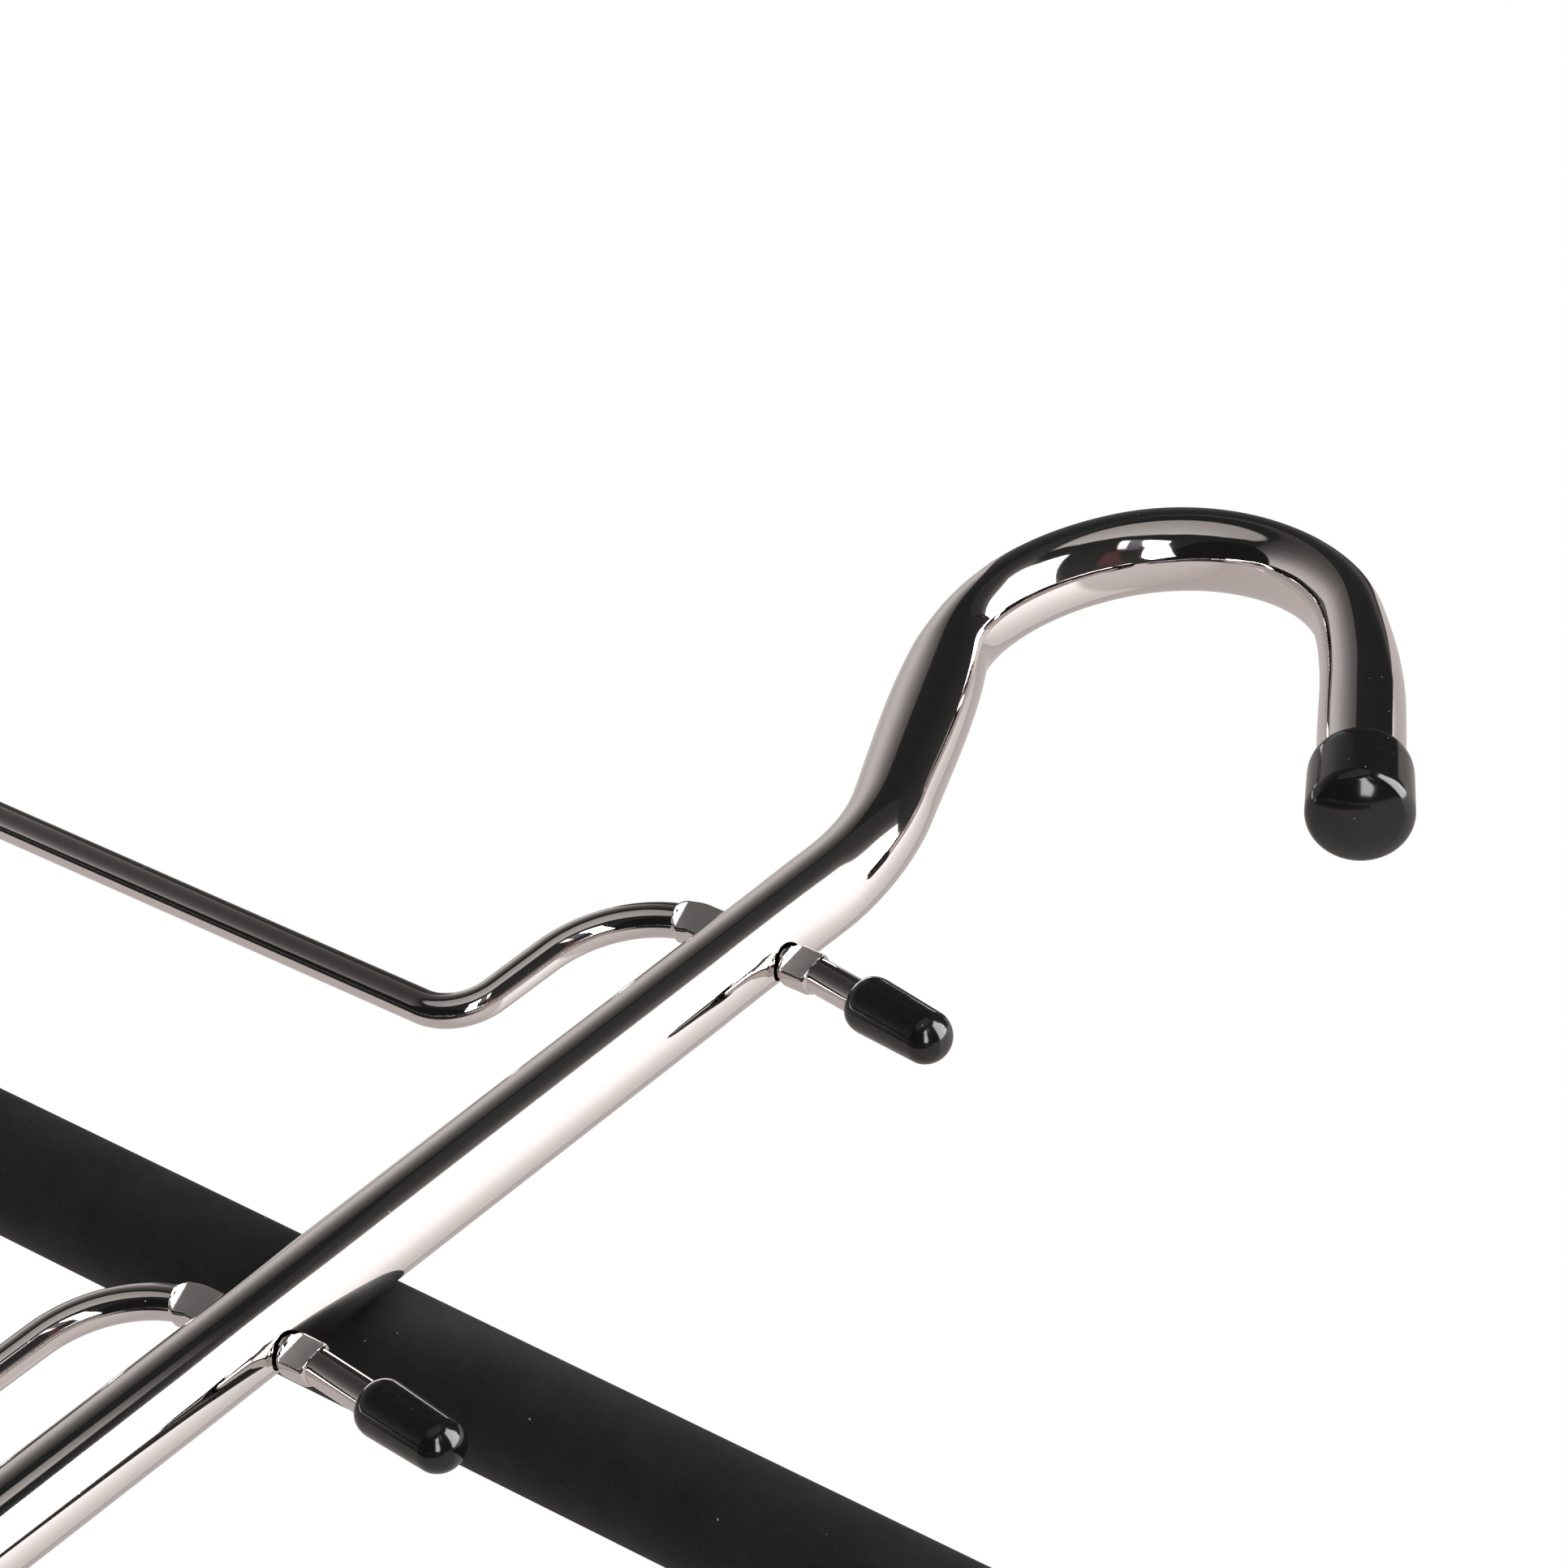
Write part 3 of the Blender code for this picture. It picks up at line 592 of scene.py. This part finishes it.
shoulder = np.array([-SHOULDER, 0.0])
crank_way = -np.array([math.sin(CRANK_LEAN), math.cos(CRANK_LEAN)])
crank_base = np.array([-CRANK_BASE, 0.0])
crank_top = where_lines_meet(shoulder, heading_vector(math.pi + SHOULDER_FALL), crank_base, crank_way)
foot = crank_base + crank_way * CRANK_DROP / -crank_way[1]
far_top = np.array([-ARM_REACH, foot[1] + (-ARM_REACH - foot[0]) * math.tan(RUN_RISE)])
bar_end = (BAR_REACH - WIRE_CAP_END - FIT_GAP, -BAR_DROP)
arm_path = rounded([(0, 0), shoulder, crank_top, foot, far_top, (-ARM_REACH, -BAR_DROP), bar_end],
                   [4.0 * MM, 15.0 * MM, 6.5 * MM, FAR_CORNER, FAR_CORNER])
print("wire length in mm:", round(1000 * (stub_path.gone[-1] + arm_path.gone[-1]), 1))

# %% [markdown]
# ## The arm wire and its crimps
# A press flattens the wire on both sides of the spine, and these crimps trap it there. In the swept rod a
# crimp is only a change of numbers: the section widens, and a flat cuts its front and back. Each crimp has a
# start, a length and a ramp at each end, and very short steps, so that the borders of its flats stay crisp.

# %% The wires
CRIMP_CLIP = 1.3 * MM
CRIMP_HALF_WIDTH = 2.45 * MM
UNCUT = 2.3 * MM
FLAT_MARGIN = 0.03 * MM
FULLY_PRESSED = 0.9
WIRE_SIDES = 64
CRIMPS = {"right": (5.25 * MM, 4.0 * MM, 0.55 * MM), "left": (5.2 * MM, 5.4 * MM, 0.8 * MM)}


def finely(half, start, length, ramp, step=0.1 * MM):
    """A half of the arm with short steps over its crimp, and how far it is pressed at each."""
    gone = np.array(half.gone)
    extra = np.arange(start - step, start + length + step, step)
    gone_fine = np.unique(np.round(np.concatenate([gone, extra]), 9))
    spots = np.column_stack([np.interp(gone_fine, gone, [p[i] for p in half.points]) for i in (0, 1)])
    into = np.clip(np.minimum(gone_fine - start, start + length - gone_fine), 0.0, ramp)
    return spots, np.sin(into / ramp * math.pi / 2)


stub_spots, stub_flat = finely(stub_path, *CRIMPS["right"])
arm_spots, arm_flat = finely(arm_path, *CRIMPS["left"])
spots = np.concatenate([stub_spots[:0:-1], arm_spots])
flat = np.concatenate([stub_flat[:0:-1], arm_flat])
half_size = WIRE_RADIUS + flat * (CRIMP_HALF_WIDTH - WIRE_RADIUS)
wire_mesh = run_tree(line_object("wire_path", spots, half_width=half_size, half_height=half_size, pressed=0.0,
                                 clip=UNCUT + flat * (CRIMP_CLIP - UNCUT), crushed=flat),
                     rod_tree, Sides=WIRE_SIDES, Finish=chrome)
tidy_mesh(wire_mesh, 60.0)
marks = wire_mesh.attributes["crushed"].data
for mark, vertex in zip(marks, wire_mesh.vertices):
    mark.value = float(mark.value > FULLY_PRESSED and abs(vertex.co.y) > CRIMP_CLIP - FLAT_MARGIN)
print("wire:", len(wire_mesh.polygons), "faces,", sum(mark.value > 0.5 for mark in marks), "points on its flats")


def arm_place(tier):
    """Where an arm's own plane lies in the hanger, at rest."""
    return Matrix.Translation(hinges[f"arm_{tier}"]) @ Matrix.Rotation(rest_tilt, 4, "X")


for tier in range(1, TIERS + 1):
    placed = wire_mesh.copy()
    placed.transform(arm_place(tier))
    show(f"arm_{tier}_wire", placed, f"arm_{tier}", f"arm_wire_{tier}", chrome)

# %% [markdown]
# ## Turned pieces
# The caps and the sleeves are round about their own axis, so each is a profile turned about the X axis: a
# list of points, each a radius and a distance along. The profiles are closed, with a bore inside.

# %% A profile turned about its axis
MOUTH_FLAT = 0.15 * MM
MOUTH_BEVEL = 0.1 * MM


def turned(name, profile, sides):
    """A closed skin from (radius, along) points turned about X. A radius of 0 is a pole."""
    work = bmesh.new()
    loops = []
    for radius, along in profile:
        angles = [0.0] if radius == 0 else [2 * math.pi * side / sides for side in range(sides)]
        loops.append([work.verts.new((along, radius * math.cos(a), radius * math.sin(a))) for a in angles])
    following = loops[1:] if profile[0][0] == 0 else loops[1:] + loops[:1]
    for near, far in zip(loops, following):
        for side in range(sides):
            other = side + 1
            ring = [near[side % len(near)], near[other % len(near)], far[other % len(far)], far[side % len(far)]]
            work.faces.new(list(dict.fromkeys(ring)))
    mesh = bpy.data.meshes.new(name)
    work.to_mesh(mesh)
    work.free()
    return tidy_mesh(mesh, 50.0)


def arc_points(radius, along, across_size, along_size, start, end, steps):
    """Points on an oval arc about (radius, along). Angle 0 points outward, and a quarter turn along +X."""
    angles = [math.radians(start + (end - start) * step / steps) for step in range(steps + 1)]
    return [(max(0.0, radius + across_size * math.cos(a)), along + along_size * math.sin(a)) for a in angles]


def cap_profile(inner, rim_wall, tip_wall, length, rim_length, dome, shoulder_size):
    """A dipped cap: its mouth at 0, a rim that thins, a wall that changes to the tip, a shoulder and a dome."""
    shoulder, outer = length - dome, inner + tip_wall
    middle = outer - shoulder_size
    dome_size = (middle ** 2 + dome ** 2 - shoulder_size ** 2) / (2 * (dome - shoulder_size))
    border = 90.0 - math.degrees(math.atan2(middle, dome_size - dome))
    rim = arc_points(inner + MOUTH_FLAT, rim_length, rim_wall - MOUTH_FLAT, rim_length, -90, 0, 12)
    skin = arc_points(middle, shoulder, shoulder_size, shoulder_size, 0, border, 12)
    skin += arc_points(0.0, length - dome_size, dome_size, dome_size, border, 90, 20)[1:]
    inside = arc_points(0.0, shoulder, inner, dome - tip_wall, 0, 90, 10)
    inside[-1] = (0, length - tip_wall)
    skin[-1] = (0, length)
    return skin[::-1] + rim[::-1] + [(inner + MOUTH_BEVEL, 0.0), (inner, MOUTH_BEVEL)] + inside


# %% [markdown]
# ## Caps
# Vinyl caps cover every cut end: two on the tube and two on each wire. They are pushed on by hand, so the
# first stub's cap sits a little deeper than the others, and the second's has slipped out.

# %% The tube's caps and the wires' caps
TUBE_CAP_LENGTH = 11.8 * MM
TUBE_CAP_END = 3.4 * MM
WIRE_CAP_LENGTH = 12.9 * MM
TUBE_CAP = cap_profile(inner=5.3 * MM, rim_wall=0.8 * MM, tip_wall=0.95 * MM, length=TUBE_CAP_LENGTH,
                       rim_length=2.2 * MM, dome=3.2 * MM, shoulder_size=2.1 * MM)
WIRE_CAP = cap_profile(inner=2.3 * MM, rim_wall=1.0 * MM, tip_wall=0.75 * MM, length=WIRE_CAP_LENGTH,
                       rim_length=1.8 * MM, dome=2.8 * MM, shoulder_size=2.3 * MM)
TUBE_CAP_COVER = TUBE_CAP_LENGTH - TUBE_CAP_END - FIT_GAP
WIRE_CAP_COVER = WIRE_CAP_LENGTH - WIRE_CAP_END - FIT_GAP
TUBE_CAP_SIDES = 96
WIRE_CAP_SIDES = 72
STUB_SLIPS = {1: -0.3 * MM, 2: 1.5 * MM}


def at_end(point, heading, cover):
    """Where a cap sits on an end that points along a heading in the XZ plane."""
    mouth = np.array(point) - cover * heading_vector(heading)
    return Matrix.Translation((mouth[0], 0.0, mouth[1])) @ Matrix.Rotation(-heading, 4, "Y")


tube_ends = {"hook_cap": (spine_path.points[-1], spine_path.headings[-1]),
             "tail_cap": (spine_path.points[0], spine_path.headings[0] + math.pi)}
for node, (point, heading) in tube_ends.items():
    mesh = turned(node, TUBE_CAP, TUBE_CAP_SIDES)
    mesh.transform(at_end(point, heading, TUBE_CAP_COVER))
    show(f"{node}_vinyl", mesh, "frame", node, vinyl)

wire_ends = {"stub_cap": (stub_path.points[-1], -DROOP), "bar_end_cap": (bar_end, 0.0)}
for tier in range(1, TIERS + 1):
    for kind, (point, heading) in wire_ends.items():
        mesh = turned(kind, WIRE_CAP, WIRE_CAP_SIDES)
        slipped = STUB_SLIPS.get(tier, 0.0) if kind == "stub_cap" else 0.0
        mesh.transform(arm_place(tier) @ at_end(point, heading, WIRE_CAP_COVER - slipped))
        show(f"{kind}_{tier}_vinyl", mesh, f"arm_{tier}", f"{kind}_{tier}", vinyl)
print("caps:", len(tube_ends) + len(wire_ends) * TIERS)

# %% [markdown]
# ## Foam sleeves
# A sleeve is a straight length of foam tube with cut ends, whose outer edges are slightly rounded. Rings a
# millimetre apart keep its faces small and even.

# %% The sleeves
SLEEVE_EDGE = 1.2 * MM
SLEEVE_BORE = WIRE_RADIUS + FIT_GAP
SLEEVE_INSET = 3.0 * MM
RING_STEP = 1.0 * MM
SLEEVE_SIDES = 72
sleeve_left = -ARM_REACH + FAR_CORNER + SLEEVE_INSET
sleeve_right = BAR_REACH - WIRE_CAP_LENGTH - FIT_GAP

left_edge = arc_points(SLEEVE_RADIUS - SLEEVE_EDGE, sleeve_left + SLEEVE_EDGE, SLEEVE_EDGE, SLEEVE_EDGE, -90, 0, 6)
right_edge = [(radius, sleeve_left + sleeve_right - along) for radius, along in left_edge[::-1]]
body_rings = [(SLEEVE_RADIUS, along)
              for along in np.arange(sleeve_left + 2 * RING_STEP, sleeve_right - 2 * RING_STEP, RING_STEP)]
sleeve_mesh = turned("foam_sleeve", [(SLEEVE_BORE, sleeve_left)] + left_edge + body_rings + right_edge
                     + [(SLEEVE_BORE, sleeve_right)], SLEEVE_SIDES)
for tier in range(1, TIERS + 1):
    mesh = sleeve_mesh.copy()
    mesh.transform(arm_place(tier) @ Matrix.Translation((0.0, 0.0, -BAR_DROP)))
    sleeve = show(f"foam_sleeve_{tier}_skin", mesh, f"arm_{tier}", f"foam_sleeve_{tier}", foam)
print("sleeve length in mm:", round(1000 * (sleeve_right - sleeve_left), 1))

# %% [markdown]
# ## Camera
# The photograph looks up at the hanger from its lower right with a long lens, so that parallel wires stay
# nearly parallel. The camera was solved from the picture: the three axes are where its right, its down and
# its depth point, and the eye is in millimetres.

# %% Camera
FRAME_PIXELS = 1932
FOCAL_PIXELS = 9152
SENSOR = 36.0
scene = bpy.context.scene
camera = bpy.data.objects.new("camera", bpy.data.cameras.new("camera"))
scene.collection.objects.link(camera)
right = Vector((0.7621, 0.0857, 0.6419)).normalized()
down = Vector((0.3168, 0.8153, -0.4849)).normalized()
ahead = Vector((-0.5649, 0.5729, 0.5940)).normalized()
eye = Vector((455.93, -483.14, -563.36)) * MM
camera.matrix_world = Matrix.Translation(eye) @ Matrix((right, -down, -ahead)).transposed().to_4x4()
camera.data.sensor_width = SENSOR
camera.data.lens = FOCAL_PIXELS / FRAME_PIXELS * SENSOR
camera.data.clip_start = 0.01
scene.camera = camera
print("lens in mm:", round(camera.data.lens, 1))

# %% [markdown]
# ## Studio cards
# Chrome has no look of its own: it shows the studio. In a studio, cards, screens and soft boxes hang round
# the object outside the picture to shape it. Each card here is a patch of a big ball round the hanger,
# given by directions: azimuth 0 is in front of it and 90 to its right, and elevation 90 is above.
# Only gloss sees the cards. They give no light to matt surfaces, so the colours stay as they are written.

# %% A card in the studio
STUDIO_CENTRE = Vector((0.0, 0.0, -60 * MM))


def card(name, left, right, shades, strength=1.0, soft=(0.0, 0.0), distance=3.0, steps=24):
    """A patch between two edges, each a list of (azimuth, elevation) from low to high.

    Its shades run from the left edge to the right one. A soft card fades out over these shares of its
    width and its height.
    """
    stations = np.linspace(0, len(left) - 1, steps + 1)
    edges = [np.column_stack([np.interp(stations, range(len(edge)), column) for column in np.array(edge, float).T])
             for edge in (left, right)]
    points, places = [], []
    for row in range(steps + 1):
        for across in np.linspace(0, 1, steps + 1):
            azimuth, elevation = np.radians((1 - across) * edges[0][row] + across * edges[1][row])
            way = Vector((math.sin(azimuth) * math.cos(elevation), -math.cos(azimuth) * math.cos(elevation),
                          math.sin(elevation)))
            points.append(STUDIO_CENTRE + distance * way)
            places.append((across, row / steps))
    corners = [row * (steps + 1) + column for row in range(steps) for column in range(steps)]
    mesh = bpy.data.meshes.new(name)
    mesh.from_pydata(points, [], [(c, c + 1, c + steps + 2, c + steps + 1) for c in corners])
    layer = mesh.uv_layers.new(name="UVMap")
    for spot, loop in zip(layer.data, mesh.loops):
        spot.uv = places[loop.vertex_index]
    made = bpy.data.objects.new(name, mesh)
    scene.collection.objects.link(made)
    for ray in ("camera", "diffuse", "shadow", "transmission", "volume_scatter"):
        setattr(made, f"visible_{ray}", False)
    made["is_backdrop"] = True

    finish = bpy.data.materials.new(name)
    finish.use_nodes = True
    finish.cycles.emission_sampling = "NONE"
    tree = finish.node_tree
    tree.nodes.clear()
    place = add(tree, "ShaderNodeSeparateXYZ", {0: add(tree, "ShaderNodeTexCoord").outputs["UV"]}).outputs
    ramp = add(tree, "ShaderNodeValToRGB", {0: place["X"]})
    stops = ramp.color_ramp.elements
    stops[0].color, stops[-1].color = linear(shades[0]), linear(shades[-1])
    for share, shade in list(zip(np.linspace(0, 1, len(shades)), shades))[1:-1]:
        stops.new(share).color = linear(shade)
    glow = add(tree, "ShaderNodeEmission", {"Color": ramp.outputs[0], "Strength": strength}).outputs[0]
    for axis, share in zip("XY", soft):
        if share:
            inward = add(tree, "ShaderNodeMath", {0: place[axis], 1: 0.5}, operation="PINGPONG").outputs[0]
            shown = add(tree, "ShaderNodeMapRange", {"Value": inward, "From Max": share},
                        interpolation_type="SMOOTHSTEP").outputs[0]
            clear = add(tree, "ShaderNodeBsdfTransparent").outputs[0]
            glow = add(tree, "ShaderNodeMixShader", {0: shown, 1: clear, 2: glow}).outputs[0]
    add(tree, "ShaderNodeOutputMaterial", {"Surface": glow})
    mesh.materials.append(finish)


# %% [markdown]
# ## What hangs in the studio
# The photograph's reflections, traced back from the tube's known shape, give the cards: a dark room in
# front, a pale wall on the left, a round grey screen, a big soft box high on the right and a smaller one
# below it with a slit of lamplight, a reddish cloth and a bluish gap above, and a white table all round the
# back. A halo left of the big box grows from the dark room to white, so that the box's edge is soft in the chrome.

# %% The cards
BOX_GLOW = 10.0
WHITE_CARD = ["#FFFFFF", "#FFFFFF"]

card("dark_room", [(-64, -89), (-64, 89)], [(92, -89), (92, 89)], ["#2A2A2A", "#262727", "#303030", "#3C3B3B"],
     distance=3.3)
card("dark_below", [(-92, -89), (-92, -46)], [(92, -89), (92, -46)], ["#1E1E1E", "#1C1C1C", "#1E1E1E"],
     distance=3.2)
card("pale_wall", [(-112, -52), (-112, 41)], [(-34, -46), (-34, 37)],
     ["#B8B4B2", "#C0BCBA", "#CCC8C6", "#CECAC8", "#BAB6B4", "#949090", "#706D6B", "#535150", "#393838"],
     distance=3.1)
card("dark_ceiling", [(-138, 40), (-138, 89)], [(-34, 36), (-34, 89)],
     ["#2C2C2C", "#5C5A59", "#464545", "#313131", "#272828"], distance=3.15)
card("round_screen",
     [(-12, -35), (-28, -31), (-33, -20), (-32, -8), (-26, 3), (-21, 14), (-19, 22), (-14, 28.7)],
     [(-10, -35), (4, -28), (13, -18), (16, -4), (16, 8), (13, 18), (7, 23), (2, 28.7)],
     ["#A09C9A", "#A6A2A0", "#AEAAA8", "#BAB6B4", "#C8C4C2"], soft=(0.07, 0.07), distance=2.9)

box_left = [(31, 14), (28, 20), (25, 26), (21, 31), (20, 34), (22, 37), (32, 41), (37, 46), (41, 51), (50, 56),
            (60, 60)]
card("box_halo",
     [(24, 14), (21, 20), (18, 26), (-30, 31), (-30, 34), (-30, 37), (-20, 41), (-10, 46), (0, 51), (10, 56),
      (20, 60)], box_left,
     ["#2C2C2D", "#2C2D2D", "#2D2E2E", "#2F2F2F", "#313131", "#353535", "#3B3A3A", "#4A4948", "#585655",
      "#676564", "#FFFFFF"], strength=1.4, distance=2.7)
box_right = [(91, elevation) for elevation in (11.5, 20, 26, 31, 34, 37, 41, 46, 51, 56, 60)]
card("big_soft_box", box_left, box_right, WHITE_CARD, strength=BOX_GLOW, distance=2.6)
card("lamp_slit", [(23, -7), (22, -1)], [(47, -17), (45, -12)], ["#FFFFFF", "#FFFFFF", "#C8A098"], strength=2.0,
     soft=(0.2, 0.2), distance=2.6)
card("red_cloth", [(44, -14), (42, -8)], [(90, -30), (88, -8)], ["#5A3C3A", "#5C4240", "#4A3A38"],
     soft=(0.2, 0.2), distance=2.7)
card("blue_gap", [(22, -16), (22, -4)], [(50, -28), (50, -14)], ["#868690", "#565258"], soft=(0.15, 0.15),
     distance=2.75)
card("low_soft_box", [(26, -30), (34, -33.5), (42, -39), (51, -44), (62, -48), (76, -52)],
     [(25, -14), (36, -21), (44, -27), (58, -31), (72, -34), (82, -40)], WHITE_CARD, strength=BOX_GLOW,
     soft=(0.04, 0.04), distance=2.6)

card("table_right", [(91, -89), (91, 89)], [(170, -89), (170, 89)], ["#DCD4D2", "#D6CECC", "#C4BCBA"],
     distance=0.6)
card("table_left", [(170, -89), (170, 41)], [(248, -89), (248, 41)], ["#C0B8B6", "#C4BCBA", "#C8C0BE"],
     distance=0.6)
card("table_top", [(170, 41), (170, 89)], [(222, 41), (222, 89)], ["#C0B8B6", "#D0C8C6"], distance=0.6)
card("table_bright", [(91, 2), (91, 80)], [(171, 2), (171, 80)],
     ["#FFFFFF", "#FCFAFA", "#F3F0EF", "#E5E1E0", "#D8D4D3", "#D0CCCA", "#C6C2C0", "#C0BCBA", "#BEBAB8"],
     strength=1.4, soft=(0.0, 0.08), distance=0.58)

# %% [markdown]
# ## Light and floor
# The backdrop is white: the world shows at full strength to the eye and to gloss, and gives matt surfaces
# less than half of that. One big soft lamp high in front adds the rest, so that the foam has a lit upper
# side. The floor is a pale plane that keeps the shadow, lifted to the backdrop's white by a faint glow of
# its own. The photograph looks up from below it, so from that side it is clear.

# %% World, lamp and floor
FILL_LIGHT = 0.45
LAMP_SIZE = 0.9
LAMP_WATTS = 22.0
FLOOR_HEIGHT = -900 * MM
FLOOR_LIFT = 0.52

scene.view_settings.view_transform = "Standard"
world = bpy.data.worlds.new("studio")
scene.world = world
world.use_nodes = True
tree = world.node_tree
tree.nodes.clear()
ray = add(tree, "ShaderNodeLightPath").outputs
seen = add(tree, "ShaderNodeMath", {0: ray["Is Camera Ray"], 1: ray["Is Glossy Ray"]}, operation="MAXIMUM").outputs[0]
seen = add(tree, "ShaderNodeMath", {0: seen, 1: ray["Is Transmission Ray"]}, operation="MAXIMUM").outputs[0]
white = (1.0, 1.0, 1.0, 1.0)
backdrop = add(tree, "ShaderNodeBackground", {"Color": white, "Strength": 1.0}).outputs[0]
fill = add(tree, "ShaderNodeBackground", {"Color": white, "Strength": FILL_LIGHT}).outputs[0]
both = add(tree, "ShaderNodeMixShader", {0: seen, 1: fill, 2: backdrop}).outputs[0]
add(tree, "ShaderNodeOutputWorld", {"Surface": both})

lamp = bpy.data.objects.new("soft_lamp", bpy.data.lights.new("soft_lamp", "AREA"))
scene.collection.objects.link(lamp)
lamp.data.shape = "DISK"
lamp.data.size = LAMP_SIZE
lamp.data.energy = LAMP_WATTS
lamp.location = (0.25, -0.75, 0.75)
lamp.rotation_euler = (STUDIO_CENTRE - lamp.location).to_track_quat("-Z", "Y").to_euler()
lamp.visible_glossy = False

floor_mesh = bpy.data.meshes.new("floor")
floor_corners = [(x, y, FLOOR_HEIGHT) for x, y in ((-6, -6), (6, -6), (6, 6), (-6, 6))]
floor_mesh.from_pydata(floor_corners, [], [(0, 1, 2, 3)])
floor = bpy.data.objects.new("floor", floor_mesh)
scene.collection.objects.link(floor)
floor.visible_glossy = False
floor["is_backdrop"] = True
paint = bpy.data.materials.new("matt_white_floor")
paint.use_nodes = True
tree = paint.node_tree
tree.nodes.clear()
matt = add(tree, "ShaderNodeBsdfDiffuse", {"Color": linear("#F4F4F4")}).outputs[0]
lift = add(tree, "ShaderNodeEmission", {"Color": white, "Strength": FLOOR_LIFT}).outputs[0]
top = add(tree, "ShaderNodeAddShader", {0: matt, 1: lift}).outputs[0]
below = add(tree, "ShaderNodeNewGeometry").outputs["Backfacing"]
clear = add(tree, "ShaderNodeBsdfTransparent").outputs[0]
add(tree, "ShaderNodeOutputMaterial", {"Surface": add(
    tree, "ShaderNodeMixShader", {0: below, 1: top, 2: clear}).outputs[0]})
floor_mesh.materials.append(paint)
print("lamp in watts:", LAMP_WATTS, "world on matt surfaces:", FILL_LIGHT)

# %% [markdown]
# ## The two boxes
# The dressed model has to stay inside the CAD model's box. The sleeves may read a few hundredths of a
# millimetre more, because the imported mesh has coarser facets than these.

# %% Sizes of the two boxes
low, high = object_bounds()
for label, corners in (("CAD", (*cad_low, *cad_high)), ("dressed", (*low, *high))):
    print(label, "box in mm:", [round(1000 * c, 2) for c in corners])
